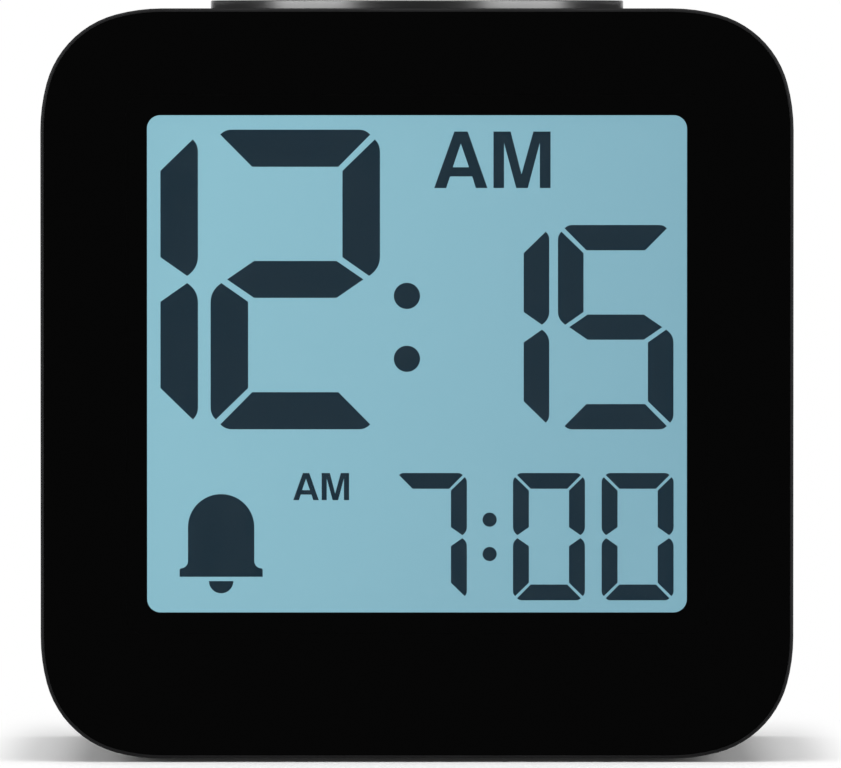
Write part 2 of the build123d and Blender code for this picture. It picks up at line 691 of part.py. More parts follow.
def main_board():
    """The circuit board behind the display, cut to the inside of the case."""
    outline = soft_square(SIDE_WALL + BOARD_GAP) & (Pos(0, WINDOW_Z) * Rectangle(BODY_WIDTH, FRAME_HEIGHT))
    board = slab(outline, (BOARD_Y, BOARD_BACK_Y))
    for x, z in board_post_places():
        hole = SMALL_SHANK_RADIUS + SCREW_CLEARANCE
        board -= rod_y(hole, (BOARD_Y - OVERRUN, BOARD_BACK_Y + OVERRUN), x, z)
    return board


def driver_chip():
    """The clock chip under its round blob of resin: a cap of a sphere."""
    x, z = board_place(CHIP_BLOB_SHARES)
    radius = (CHIP_BLOB_RADIUS ** 2 + CHIP_BLOB_HEIGHT ** 2) / (2 * CHIP_BLOB_HEIGHT)
    ball = Pos(x, BOARD_BACK_Y + CHIP_BLOB_HEIGHT - radius, z) * Sphere(radius)
    room = 2 * CHIP_BLOB_RADIUS + OVERRUN
    y_span = (BOARD_BACK_Y, BOARD_BACK_Y + CHIP_BLOB_HEIGHT + OVERRUN)
    return ball & block(around(x, room), y_span, around(z, room))


def voice_chip():
    """The chip that holds the spoken words."""
    x, z = board_place(VOICE_CHIP_SHARES)
    y_span = (BOARD_BACK_Y, BOARD_BACK_Y + VOICE_CHIP_THICKNESS)
    return block(around(x, VOICE_CHIP_WIDTH), y_span, around(z, VOICE_CHIP_HEIGHT))


def quartz_crystal():
    """The small can of the clock crystal, lying on the board."""
    x, z = board_place(CRYSTAL_SHARES)
    return rod_x(CRYSTAL_RADIUS, around(x, CRYSTAL_LENGTH), BOARD_BACK_Y + CRYSTAL_RADIUS, z)


def board_capacitors():
    """Two upright cans."""
    y_span = (BOARD_BACK_Y, BOARD_BACK_Y + CAPACITOR_LENGTH)
    places = [board_place(shares) for shares in CAPACITOR_SHARES]
    return Compound(children=[rod_y(CAPACITOR_RADIUS, y_span, x, z) for x, z in places])


def board_connectors():
    """The sockets for the loudspeaker, battery and button leads."""
    y_span = (BOARD_BACK_Y, BOARD_BACK_Y + CONNECTOR_HEIGHT)
    sockets = []
    for shares in (SPEAKER_SOCKET_SHARES, BATTERY_SOCKET_SHARES, TALK_SOCKET_SHARES):
        x, z = board_place(shares)
        sockets.append(block(around(x, CONNECTOR_WIDTH), y_span, around(z, CONNECTOR_DEPTH)))
    return Compound(children=sockets)


def board_screws():
    """Four screws through the main board into the posts of the case."""
    places = [Pos(x, BOARD_BACK_Y, z) * Rot(X=-90) for x, z in board_post_places()]
    return Compound(children=[place * small_screw(SMALL_SCREW_LENGTH) for place in places])


# Top button
def top_button():
    """The round cap: dished top, skirt with four catches, guide pins and actuator."""
    cap = rod_z(BUTTON_RADIUS, (SKIRT_BOTTOM, BUTTON_TOP))
    cap = fillet(cap.edges().sort_by(Axis.Z)[-1], BUTTON_ROUND)
    dish_rim = BUTTON_RADIUS - DISH_MARGIN
    dish_radius = (dish_rim ** 2 + DISH_DEPTH ** 2) / (2 * DISH_DEPTH)
    cap -= Pos(0, 0, BUTTON_TOP - DISH_DEPTH + dish_radius) * Sphere(dish_radius)
    cap -= rod_z(BUTTON_RADIUS - BUTTON_SKIRT, (SKIRT_BOTTOM - OVERRUN, BUTTON_UNDERSIDE))
    hook_span = (SKIRT_BOTTOM, SKIRT_BOTTOM + HOOK_HEIGHT)
    hook_rim = rod_z(BUTTON_RADIUS + HOOK_REACH, hook_span)
    for angle in HOOK_ANGLES:
        x_span = (BUTTON_RADIUS - BUTTON_SKIRT / 2, BUTTON_RADIUS + HOOK_REACH)
        hook = Rot(Z=angle) * block(x_span, around(0, HOOK_WIDTH), hook_span)
        cap += hook & hook_rim
    for x, y in GUIDE_PIN_PLACES:
        cap += rod_z(GUIDE_PIN_RADIUS, (BRACKET_BOTTOM - GUIDE_PIN_TAIL, BUTTON_UNDERSIDE), x, y)
    return cap + rod_z(ACTUATOR_RADIUS, (DOME_TOP, BUTTON_UNDERSIDE))


def button_springs():
    """Three coil springs round the guide pins, between the bracket and the cap."""
    ends = 2 * (SPRING_WIRE_RADIUS + SPRING_END_GAP)
    height = BUTTON_UNDERSIDE - BRACKET_TOP - ends
    wound = coil(SPRING_COIL_RADIUS, SPRING_COIL_RADIUS, height, SPRING_TURNS, SPRING_WIRE_RADIUS)
    return Compound(children=[Pos(x, y, BRACKET_TOP + ends / 2) * wound for x, y in GUIDE_PIN_PLACES])


def talk_switch_dome():
    """The hollow rubber dome that closes the switch under the button."""
    shoulder = DOME_HEIGHT - DOME_WALL
    points = (
        (DOME_SHOULDER_RADIUS - DOME_WALL, 0),
        (DOME_BASE_RADIUS, 0),
        (DOME_BASE_RADIUS, DOME_BASE_HEIGHT),
        (DOME_SHOULDER_RADIUS, DOME_BASE_HEIGHT),
        (DOME_TOP_RADIUS, DOME_HEIGHT),
        (0, DOME_HEIGHT),
        (0, shoulder),
        (DOME_TOP_RADIUS - DOME_WALL, shoulder),
    )
    profile = Plane.XZ * make_face(Polyline(*points, close=True))
    return Pos(0, 0, TALK_BOARD_TOP) * revolve(profile, axis=Axis.Z)


def talk_switch_board():
    """The small board under the dome."""
    x_span = around(0, TALK_BOARD_WIDTH)
    return block(x_span, around(0, TALK_BOARD_DEPTH), (BRACKET_TOP, TALK_BOARD_TOP))


def button_bracket():
    """The plate that carries the springs and the switch, hung from the case top."""
    z_span = (BRACKET_BOTTOM, BRACKET_TOP)
    arm = HANGER_X + BRACKET_EDGE
    plate = block((-arm, arm), around(0, BRACKET_ARM_DEPTH), z_span)
    pin_x = max(x for x, _ in GUIDE_PIN_PLACES) + BRACKET_EDGE
    pin_low = min(y for _, y in GUIDE_PIN_PLACES) - BRACKET_EDGE
    pin_high = max(y for _, y in GUIDE_PIN_PLACES) + BRACKET_EDGE
    plate += block((-pin_x, pin_x), (pin_low, pin_high), z_span)
    hole_span = (BRACKET_BOTTOM - OVERRUN, BRACKET_TOP + OVERRUN)
    for x, y in GUIDE_PIN_PLACES:
        plate -= rod_z(GUIDE_PIN_RADIUS + GUIDE_PIN_FIT, hole_span, x, y)
    for side in (-1, 1):
        plate -= rod_z(SMALL_SHANK_RADIUS + SCREW_CLEARANCE, hole_span, side * HANGER_X)
    return plate


def bracket_screws():
    """Two screws from below, through the bracket into the case."""
    places = [Pos(side * HANGER_X, 0, BRACKET_BOTTOM) * Rot(X=180) for side in (-1, 1)]
    return Compound(children=[place * small_screw(SMALL_SCREW_LENGTH) for place in places])


# Loudspeaker
def speaker_basket():
    """The pressed steel basket: a flange, a sloping wall and a flat back."""
    wall_front = SPEAKER_FACE_Y - SPEAKER_FLANGE_THICKNESS
    points = (
        (SPEAKER_RADIUS, SPEAKER_FACE_Y),
        (SPEAKER_RADIUS, wall_front),
        (CONE_RADIUS + SPEAKER_SHEET, wall_front),
        (SPEAKER_BACK_RADIUS, SPEAKER_BACK_Y),
        (0, SPEAKER_BACK_Y),
        (0, SPEAKER_BACK_Y + SPEAKER_SHEET),
        (SPEAKER_BACK_RADIUS - SPEAKER_SHEET, SPEAKER_BACK_Y + SPEAKER_SHEET),
        (CONE_RADIUS, wall_front),
        (CONE_RADIUS, SPEAKER_FACE_Y),
    )
    return turned_y(points, SPEAKER_Z)


def speaker_magnet():
    """The magnet on the basket's back."""
    return rod_y(MAGNET_RADIUS, (SPEAKER_BACK_Y - MAGNET_HEIGHT, SPEAKER_BACK_Y), 0, SPEAKER_Z)


def speaker_cone():
    """The paper cone with its dust cap, glued in at the basket's rim."""
    rim = SPEAKER_FACE_Y - CONE_SETBACK
    neck = rim - CONE_DEPTH
    points = (
        (CONE_RADIUS, rim),
        (CONE_RADIUS, rim - CONE_SHEET),
        (DUST_CAP_RADIUS, neck - CONE_SHEET),
        (0, neck + DUST_CAP_RISE - CONE_SHEET),
        (0, neck + DUST_CAP_RISE),
        (DUST_CAP_RADIUS, neck),
    )
    return turned_y(points, SPEAKER_Z)


def speaker_gasket():
    """The foam ring between the basket and the back panel."""
    return ring_y(SPEAKER_RADIUS, CONE_RADIUS, (SPEAKER_FACE_Y, REAR_SEAT_Y), 0, SPEAKER_Z)


# Back panel
def speaker_seat():
    """The ring wall round the loudspeaker, with three catches behind its flange."""
    catch_span = (SPEAKER_CATCH_Y - SPEAKER_CATCH_HEIGHT, SPEAKER_CATCH_Y)
    wall_span = (catch_span[0], (REAR_SEAT_Y + REAR_FACE_Y) / 2)
    seat = [ring_y(SPEAKER_OUTER_RADIUS, SPEAKER_SEAT_RADIUS, wall_span, 0, SPEAKER_Z)]
    inner = SPEAKER_RADIUS - SPEAKER_CATCH_REACH
    lip = ring_y(SPEAKER_SEAT_RADIUS + SPEAKER_WALL / 2, inner, catch_span, 0, 0)
    for angle in SPEAKER_CATCH_ANGLES:
        cut = Rot(Y=angle) * block((0, SPEAKER_OUTER_RADIUS), catch_span, around(0, SPEAKER_CATCH_WIDTH))
        seat.append(Pos(0, 0, SPEAKER_Z) * (lip & cut))
    return seat


def key_post_places():
    """Two posts for each key board, beside the gaps between its keys."""
    low = (LOW_KEY_Z + HIGH_KEY_Z) / 2
    high = (HIGH_KEY_Z + SLIDE_Z) / 2
    places = []
    for side in (-1, 1):
        places.append((side * (KEY_X + KEY_POST_OFFSET), low))
        places.append((side * (KEY_X - KEY_POST_OFFSET), high))
    return places


def grille_cuts():
    """The holes of the loudspeaker grille: one in the middle and six more in each ring."""
    y_span = (REAR_SEAT_Y - OVERRUN, REAR_FACE_Y + OVERRUN)
    cuts = [rod_y(GRILLE_HOLE_RADIUS, y_span, 0, SPEAKER_Z)]
    for ring in range(1, GRILLE_RINGS + 1):
        for step in range(6 * ring):
            angle = tau * step / (6 * ring)
            x = GRILLE_PITCH * ring * cos(angle)
            z = SPEAKER_Z + GRILLE_PITCH * ring * sin(angle)
            cuts.append(rod_y(GRILLE_HOLE_RADIUS, y_span, x, z))
    return cuts


def contact_tab_cuts():
    """The slots in the bay's floor for the two solder tabs."""
    x_span = (CONTACT_X - CONTACT_TAB_FIT, BAY_END_X)
    y_span = (CONTACT_TAB_Y, BAY_FLOOR_Y + OVERRUN)
    width = CONTACT_TAB_WIDTH + 2 * CONTACT_TAB_FIT
    return [block(x_span, y_span, around(z, width)) for z in (CELL_LOW_Z, CELL_HIGH_Z)]


def door_cuts():
    """The door's recess, its hinge slots and the finger scoop above it."""
    half_width = DOOR_WIDTH / 2 + DOOR_FIT
    outside = REAR_FACE_Y + OVERRUN
    cuts = [
        block(
            (-half_width, half_width),
            (DOOR_INNER_Y, outside),
            (DOOR_BOTTOM - DOOR_FIT, DOOR_TOP + DOOR_FIT),
        )
    ]
    swing_y = DOOR_TAB_Y - DOOR_TAB_THICKNESS - DOOR_TAB_SWING
    for side in (-1, 1):
        x_span = around(side * DOOR_TAB_SPACING / 2, DOOR_TAB_WIDTH + 2 * DOOR_FIT)
        cuts.append(block(x_span, (swing_y, REAR_SEAT_Y), (BAY_BOTTOM - BAY_WALL - OVERRUN, BAY_BOTTOM)))
        cuts.append(block(x_span, (REAR_SEAT_Y, outside), (DOOR_BOTTOM - DOOR_FIT, BAY_BOTTOM)))
    cuts.append(rod_y(SCOOP_RADIUS, (REAR_FACE_Y - SCOOP_DEPTH, outside), 0, DOOR_TOP))
    return cuts


def control_cuts():
    """The round key holes and the two slide slots."""
    y_span = (REAR_SEAT_Y - OVERRUN, REAR_FACE_Y + OVERRUN)
    cuts = [rod_y(KEY_RADIUS + KEY_FIT, y_span, x, z) for x, z in KEY_PLACES.values()]
    slot = KNOB_WIDTH + SLIDE_TRAVEL + 2 * SLIDE_FIT
    for _, middle in SLIDE_PLACES.values():
        cuts.append(block(around(middle, slot), y_span, around(SLIDE_Z, KNOB_HEIGHT + 2 * SLIDE_FIT)))
    return cuts


def screw_cuts():
    """Counterbored holes for the panel screws and pilot holes in the key posts."""
    seat_y = REAR_SEAT_Y + PANEL_SCREW_SEAT
    outside = REAR_FACE_Y + OVERRUN
    cuts = []
    for x in (-BOSS_X, BOSS_X):
        for z in (BOSS_LOW_Z, BOSS_HIGH_Z):
            cuts.append(rod_y(PANEL_SHANK_RADIUS + SCREW_CLEARANCE, (REAR_SEAT_Y - OVERRUN, outside), x, z))
            cuts.append(rod_y(PANEL_HEAD_RADIUS + SCREW_CLEARANCE, (seat_y, outside), x, z))
    pilot_end = KEY_BOARD_Y + KEY_SCREW_LENGTH + SCREW_CLEARANCE
    for x, z in key_post_places():
        cuts.append(rod_y(SMALL_SHANK_RADIUS + SCREW_FIT, (KEY_BOARD_BACK_Y - OVERRUN, pilot_end), x, z))
    return cuts


def rear_panel():
    """The back: plate, battery bay, loudspeaker seat and key posts, with all openings."""
    panel = slab(soft_square(REAR_LIP + REAR_FIT), (REAR_SEAT_Y, REAR_FACE_Y))
    inside_plate = (REAR_SEAT_Y + REAR_FACE_Y) / 2
    bay_x = BAY_END_X + BAY_WALL
    bay_z = (BAY_BOTTOM - BAY_WALL, BAY_TOP + BAY_WALL)
    added = [block((-bay_x, bay_x), (BAY_FLOOR_Y - BAY_FLOOR, DOOR_INNER_Y), bay_z)]
    added += speaker_seat()
    for x, z in key_post_places():
        added.append(rod_y(KEY_POST_RADIUS, (KEY_BOARD_BACK_Y, inside_plate), x, z))
    panel += added
    bay = block((-BAY_END_X, BAY_END_X), (BAY_FLOOR_Y, REAR_FACE_Y + OVERRUN), (BAY_BOTTOM, BAY_TOP))
    return panel - [bay, *contact_tab_cuts(), *door_cuts(), *control_cuts(), *screw_cuts(), *grille_cuts()]


def rear_panel_screws():
    """Four screws through the back panel into the case bosses."""
    one = screw(PANEL_SHANK_RADIUS, PANEL_HEAD_RADIUS, PANEL_HEAD_HEIGHT, PANEL_SCREW_LENGTH)
    seat_y = REAR_SEAT_Y + PANEL_SCREW_SEAT
    places = [(x, z) for x in (-BOSS_X, BOSS_X) for z in (BOSS_LOW_Z, BOSS_HIGH_Z)]
    return Compound(children=[Pos(x, seat_y, z) * Rot(X=-90) * one for x, z in places])


# Keys and slides
def key_board(side):
    """One key board, at the left (-1) or right (+1) of the loudspeaker."""
    x_span = sorted((side * KEY_BOARD_INNER_X, side * KEY_BOARD_OUTER_X))
    board = block(x_span, (KEY_BOARD_Y, KEY_BOARD_BACK_Y), (KEY_BOARD_BOTTOM, KEY_BOARD_TOP))
    for x, z in key_post_places():
        hole = SMALL_SHANK_RADIUS + SCREW_CLEARANCE
        board -= rod_y(hole, (KEY_BOARD_Y - OVERRUN, KEY_BOARD_BACK_Y + OVERRUN), x, z)
    return board


def key_board_screws():
    """Four screws from inside, through the key boards into their posts."""
    places = [Pos(x, KEY_BOARD_Y, z) * Rot(X=90) for x, z in key_post_places()]
    return Compound(children=[place * small_screw(KEY_SCREW_LENGTH) for place in places])


def key_cap(x, z):
    """A round key with a flange that keeps it behind the panel."""
    cap = rod_y(KEY_RADIUS, (KEY_FLANGE_FRONT_Y, REAR_FACE_Y + KEY_PROUD), x, z)
    cap = fillet(cap.edges().sort_by(Axis.Y)[-1], KEY_ROUND)
    return cap + rod_y(KEY_RADIUS + KEY_FLANGE, (KEY_FLANGE_FRONT_Y, KEY_FLANGE_BACK_Y), x, z)


def key_plunger(x, z):
    """The switch's own plunger, under the key and inside the switch body."""
    return rod_y(PLUNGER_RADIUS, (SWITCH_TOP_Y - PLUNGER_ENGAGEMENT, KEY_FLANGE_FRONT_Y), x, z)


def key_switches():
    """The four switch bodies on the key boards, each bored for its plunger."""
    bore_end = SWITCH_TOP_Y - PLUNGER_ENGAGEMENT - KEY_TRAVEL - PLUNGER_FIT
    bodies = []
    for x, z in KEY_PLACES.values():
        body = block(around(x, SWITCH_WIDTH), (KEY_BOARD_BACK_Y, SWITCH_TOP_Y), around(z, SWITCH_WIDTH))
        bore = rod_y(PLUNGER_RADIUS + PLUNGER_FIT, (bore_end, SWITCH_TOP_Y + OVERRUN), x, z)
        bodies.append(body - bore)
    return Compound(children=bodies)


def slide_knob(x):
    """A slide's ribbed knob: a flange behind the panel and a socket for the slider."""
    outside = REAR_FACE_Y + KEY_PROUD
    knob = block(around(x, KNOB_WIDTH), (KEY_FLANGE_FRONT_Y, outside), around(SLIDE_Z, KNOB_HEIGHT))
    knob = fillet(knob.faces().sort_by(Axis.Y)[-1].edges(), KNOB_ROUND)
    for step in range(KNOB_GRIP_COUNT):
        middle = x + KNOB_WIDTH * ((step + 1) / (KNOB_GRIP_COUNT + 1) - 0.5)
        grip_span = (outside - KNOB_GRIP_DEPTH, outside + OVERRUN)
        knob -= block(around(middle, KNOB_GRIP_WIDTH), grip_span, around(SLIDE_Z, KNOB_HEIGHT + OVERRUN))
    flange_span = (KEY_FLANGE_FRONT_Y, KEY_FLANGE_BACK_Y)
    flange_width = around(x, KNOB_WIDTH + 2 * KNOB_FLANGE)
    knob += block(flange_width, flange_span, around(SLIDE_Z, KNOB_HEIGHT + 2 * KNOB_FLANGE))
    socket = SLIDER_WIDTH + 2 * SLIDER_FIT
    socket_span = (KEY_FLANGE_FRONT_Y - OVERRUN, KEY_FLANGE_FRONT_Y + SLIDER_SOCKET)
    return knob - block(around(x, socket), socket_span, around(SLIDE_Z, socket))


def slide_slider(x):
    """The switch's own slider, between its body and the knob."""
    y_span = (SLIDE_BODY_TOP_Y - SLIDER_ENGAGEMENT, KEY_FLANGE_FRONT_Y + SLIDER_SOCKET)
    return block(around(x, SLIDER_WIDTH), y_span, around(SLIDE_Z, SLIDER_WIDTH))


def slide_switches():
    """The two slide switch bodies, each with a slot for its slider."""
    bodies = []
    slot_y = (SLIDE_BODY_TOP_Y - SLIDER_ENGAGEMENT - SLIDER_FIT, SLIDE_BODY_TOP_Y + OVERRUN)
    slot_z = around(SLIDE_Z, SLIDER_WIDTH + 2 * SLIDER_FIT)
    for _, middle in SLIDE_PLACES.values():
        y_span = (KEY_BOARD_BACK_Y, SLIDE_BODY_TOP_Y)
        body = block(around(middle, SLIDE_BODY_WIDTH), y_span, around(SLIDE_Z, SLIDE_BODY_DEPTH))
        slot = around(middle, SLIDER_WIDTH + SLIDE_TRAVEL + 2 * SLIDER_FIT)
        bodies.append(body - block(slot, slot_y, slot_z))
    return Compound(children=bodies)


# Batteries, contacts and door
def battery(side, z):
    """One cell along X, with its positive nub towards side (-1 or +1)."""
    tip = side * CONTACT_X
    shoulder = tip - side * CELL_NUB_HEIGHT
    tail = tip - side * CELL_LENGTH
    can = rod_x(CELL_RADIUS, sorted((tail, shoulder)), CELL_Y, z)
    can = fillet(can.edges().filter_by(GeomType.CIRCLE), CELL_ROUND)
    return can + rod_x(CELL_NUB_RADIUS, sorted((shoulder, tip)), CELL_Y, z)


def tabbed_contact(z):
    """A contact plate at the bay's right end, with its solder tab through the floor."""
    x_span = (CONTACT_X, BAY_END_X)
    plate = block(x_span, around(CELL_Y, CONTACT_WIDTH), around(z, CONTACT_WIDTH))
    return plate + block(x_span, (CONTACT_TAB_Y, CELL_Y), around(z, CONTACT_TAB_WIDTH))


def bridge_contact():
    """The plate at the bay's left end that joins the two cells."""
    z_span = (CELL_LOW_Z - CONTACT_WIDTH / 2, CELL_HIGH_Z + CONTACT_WIDTH / 2)
    return block((-BAY_END_X, -CONTACT_X), around(CELL_Y, CONTACT_WIDTH), z_span)


def battery_springs():
    """The two tapered springs behind the cells' flat ends."""
    ends = 2 * (CELL_SPRING_WIRE_RADIUS + SPRING_END_GAP)
    height = CELL_SPRING_ROOM - ends
    wound = coil(
        CELL_SPRING_BASE_RADIUS, CELL_SPRING_TIP_RADIUS, height, CELL_SPRING_TURNS, CELL_SPRING_WIRE_RADIUS
    )
    base = CONTACT_X - ends / 2
    right = Pos(base, CELL_Y, CELL_LOW_Z) * Rot(Y=-90) * wound
    left = Pos(-base, CELL_Y, CELL_HIGH_Z) * Rot(Y=90) * wound
    return Compound(children=[right, left])


def battery_door():
    """The door: a plate that turns on its round lower edge, hooked in by two tabs."""
    x_span = around(0, DOOR_WIDTH)
    door = block(x_span, (DOOR_INNER_Y, REAR_FACE_Y), (DOOR_AXIS_Z, DOOR_TOP))
    door += rod_x(DOOR_THICKNESS / 2, x_span, DOOR_AXIS_Y, DOOR_AXIS_Z)
    tab_y = (DOOR_TAB_Y - DOOR_TAB_THICKNESS, DOOR_TAB_Y)
    for side in (-1, 1):
        tab_x = around(side * DOOR_TAB_SPACING / 2, DOOR_TAB_WIDTH)
        tab_top = DOOR_BOTTOM + DOOR_TAB_ROOT
        door += block(tab_x, tab_y, (DOOR_BOTTOM - DOOR_TAB_REACH, tab_top))
        door += block(tab_x, (DOOR_TAB_Y, DOOR_INNER_Y), (DOOR_AXIS_Z, tab_top))
        slit_x = around(side * LATCH_WIDTH / 2, LATCH_SLIT)
        slit_y = (DOOR_INNER_Y - OVERRUN, REAR_FACE_Y + OVERRUN)
        door -= block(slit_x, slit_y, (DOOR_TOP - LATCH_LENGTH, DOOR_TOP + OVERRUN))
    rib_x = around(0, LATCH_WIDTH - LATCH_SLIT - 2 * LATCH_RIB_MARGIN)
    for step in range(LATCH_RIB_COUNT):
        rib_z = DOOR_TOP - LATCH_RIB_MARGIN - LATCH_RIB_PITCH * step
        door += rod_x(LATCH_RIB_RADIUS, rib_x, REAR_FACE_Y, rib_z)
    return door


# Wiring
def wire_section():
    """The round section of a lead."""
    return Circle(LEAD_WIRE_RADIUS)


def speaker_leads():
    """Two leads from the loudspeaker's back to their socket on the main board."""
    socket_x, socket_z = board_place(SPEAKER_SOCKET_SHARES)
    start_z = SPEAKER_Z - (MAGNET_RADIUS + SPEAKER_BACK_RADIUS) / 2
    socket_y = BOARD_BACK_Y + CONNECTOR_HEIGHT
    low_z = min(start_z, socket_z) - LEAD_SAG
    leads = []
    for side in (-0.5, 0.5):
        x = side * LEAD_PITCH
        points = (
            (x, SPEAKER_BACK_Y, start_z),
            (x, SPEAKER_BACK_Y - LEAD_STUB, start_z),
            (x, (SPEAKER_BACK_Y + socket_y) / 2, low_z),
            (socket_x + x, socket_y + LEAD_STUB, socket_z),
            (socket_x + x, socket_y, socket_z),
        )
        leads.append(routed(points, wire_section()))
    return Compound(children=leads)


def battery_leads():
    """Two leads from the contacts' solder tabs to their socket on the main board."""
    socket_x, socket_z = board_place(BATTERY_SOCKET_SHARES)
    socket_y = BOARD_BACK_Y + CONNECTOR_HEIGHT
    tab_x = (CONTACT_X + BAY_END_X) / 2
    third = (CONTACT_TAB_Y - socket_y) / 3
    leads = []
    for side, z in ((-0.5, CELL_LOW_Z), (0.5, CELL_HIGH_Z)):
        end_z = socket_z + side * (CONNECTOR_DEPTH - 2 * LEAD_WIRE_RADIUS) / 2
        points = (
            (tab_x, CONTACT_TAB_Y, z),
            (tab_x, CONTACT_TAB_Y - third, z),
            (socket_x, socket_y + third, end_z),
            (socket_x, socket_y, end_z),
        )
        leads.append(routed(points, wire_section()))
    return Compound(children=leads)


def talk_leads():
    """Two leads from the switch board under the button, down into their socket."""
    start_y = -TALK_BOARD_DEPTH / 2
    start_z = BRACKET_TOP + LEAD_WIRE_RADIUS + LEAD_RISE
    drop_y = (BOARD_BACK_Y + min(y for _, y in GUIDE_PIN_PLACES) - BRACKET_EDGE) / 2
    socket_x, socket_z = board_place(TALK_SOCKET_SHARES)
    end_z = socket_z + CONNECTOR_DEPTH / 2
    leads = []
    for side in (-0.5, 0.5):
        x = socket_x + side * LEAD_PITCH
        points = ((x, start_y, start_z), (x, drop_y, start_z), (x, drop_y, end_z))
        leads.append(routed(points, wire_section()))
    return Compound(children=leads)


def key_ribbons():
    """A flat ribbon from each key board forward to the main board."""
    ribbons = []
    for side in (-1, 1):
        x = side * KEY_X
        end_x = side * (KEY_X - RIBBON_STEP)
        points = (
            (x, KEY_BOARD_Y, LOW_KEY_Z),
            (x, KEY_BOARD_Y - RIBBON_STUB, LOW_KEY_Z),
            (end_x, BOARD_BACK_Y + RIBBON_STUB, LOW_KEY_Z),
            (end_x, BOARD_BACK_Y, LOW_KEY_Z),
        )
        ribbons.append(routed(points, Rectangle(RIBBON_WIDTH, RIBBON_THICKNESS)))
    return Compound(children=ribbons)


def all_parts():
    """Every piece of the clock, by its name."""
    parts = {
        "front_housing": front_housing(),
        "front_lens": lens_shape(0),
        "lens_mask": lens_mask(),
        "lcd_front_polariser": lcd_front_polariser(),
        "lcd_cell": lcd_cell(),
        "lcd_rear_film": lcd_rear_film(),
        "light_guide": light_guide(),
        "backlight_leds": backlight_leds(),
        "lcd_frame": lcd_frame(),
        "zebra_strips": zebra_strips(),
        "main_board": main_board(),
        "driver_chip": driver_chip(),
        "voice_chip": voice_chip(),
        "quartz_crystal": quartz_crystal(),
        "board_capacitors": board_capacitors(),
        "board_connectors": board_connectors(),
        "board_screws": board_screws(),
        "top_button": top_button(),
        "button_springs": button_springs(),
        "talk_switch_dome": talk_switch_dome(),
        "talk_switch_board": talk_switch_board(),
        "button_bracket": button_bracket(),
        "bracket_screws": bracket_screws(),
        "speaker_basket": speaker_basket(),
        "speaker_magnet": speaker_magnet(),
        "speaker_cone": speaker_cone(),
        "speaker_gasket": speaker_gasket(),
        "rear_panel": rear_panel(),
        "rear_panel_screws": rear_panel_screws(),
        "left_key_board": key_board(-1),
        "right_key_board": key_board(1),
        "key_board_screws": key_board_screws(),
        "key_switches": key_switches(),
        "slide_switches": slide_switches(),
        "upper_battery": battery(1, CELL_HIGH_Z),
        "lower_battery": battery(-1, CELL_LOW_Z),
        "positive_contact": tabbed_contact(CELL_HIGH_Z),
        "negative_contact": tabbed_contact(CELL_LOW_Z),
        "bridge_contact": bridge_contact(),
        "battery_springs": battery_springs(),
        "battery_door": battery_door(),
        "base_pad": pad_shape(0, 0),
        "speaker_leads": speaker_leads(),
        "battery_leads": battery_leads(),
        "talk_leads": talk_leads(),
        "key_ribbons": key_ribbons(),
    }
    for name, (x, z) in KEY_PLACES.items():
        parts[name] = key_cap(x, z)
        parts[name + "_plunger"] = key_plunger(x, z)
    for name, (x, _) in SLIDE_PLACES.items():
        parts[name + "_knob"] = slide_knob(x)
        parts[name + "_slider"] = slide_slider(x)
    return parts


os.makedirs("parts", exist_ok=True)
for node, shape in all_parts().items():
    export_step(shape, f"parts/{node}.step")
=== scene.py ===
import json
import math

import bpy
import numpy as np
from bpy.props import FloatProperty, FloatVectorProperty, PointerProperty
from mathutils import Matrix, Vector


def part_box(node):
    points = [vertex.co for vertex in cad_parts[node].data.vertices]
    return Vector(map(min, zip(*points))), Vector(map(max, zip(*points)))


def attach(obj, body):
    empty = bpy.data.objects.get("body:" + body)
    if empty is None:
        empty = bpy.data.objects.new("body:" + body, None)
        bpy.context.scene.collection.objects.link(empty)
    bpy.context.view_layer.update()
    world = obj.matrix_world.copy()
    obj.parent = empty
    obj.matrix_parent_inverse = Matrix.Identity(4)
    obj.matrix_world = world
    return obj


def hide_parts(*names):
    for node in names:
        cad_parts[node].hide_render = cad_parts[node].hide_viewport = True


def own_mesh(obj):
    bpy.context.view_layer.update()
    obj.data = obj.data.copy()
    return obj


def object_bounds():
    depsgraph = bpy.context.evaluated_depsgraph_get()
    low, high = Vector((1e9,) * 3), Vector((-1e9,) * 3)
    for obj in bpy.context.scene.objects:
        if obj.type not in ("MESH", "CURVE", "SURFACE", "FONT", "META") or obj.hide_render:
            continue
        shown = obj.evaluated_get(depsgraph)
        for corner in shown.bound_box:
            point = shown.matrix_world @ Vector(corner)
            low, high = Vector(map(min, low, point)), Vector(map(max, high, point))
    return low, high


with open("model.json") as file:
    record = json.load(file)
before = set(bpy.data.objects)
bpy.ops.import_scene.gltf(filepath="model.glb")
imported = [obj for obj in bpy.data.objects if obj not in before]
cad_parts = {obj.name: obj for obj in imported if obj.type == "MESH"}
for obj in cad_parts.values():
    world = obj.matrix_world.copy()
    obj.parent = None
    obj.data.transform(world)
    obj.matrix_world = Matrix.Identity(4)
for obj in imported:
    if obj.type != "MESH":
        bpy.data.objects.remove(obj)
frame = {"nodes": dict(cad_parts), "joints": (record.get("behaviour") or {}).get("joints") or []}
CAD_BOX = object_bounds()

bl_info = {
    "name": "Talking alarm clock",
    "version": (1, 0, 0),
    "blender": (4, 5, 0),
    "location": "3D View > Sidebar > Clock",
    "description": "Dresses a talking alarm clock: finishes, display figures, marks and a studio",
    "category": "Object",
}

MM = 0.001
ARC_STEPS = 24
NOISE_MIDDLE = 0.5

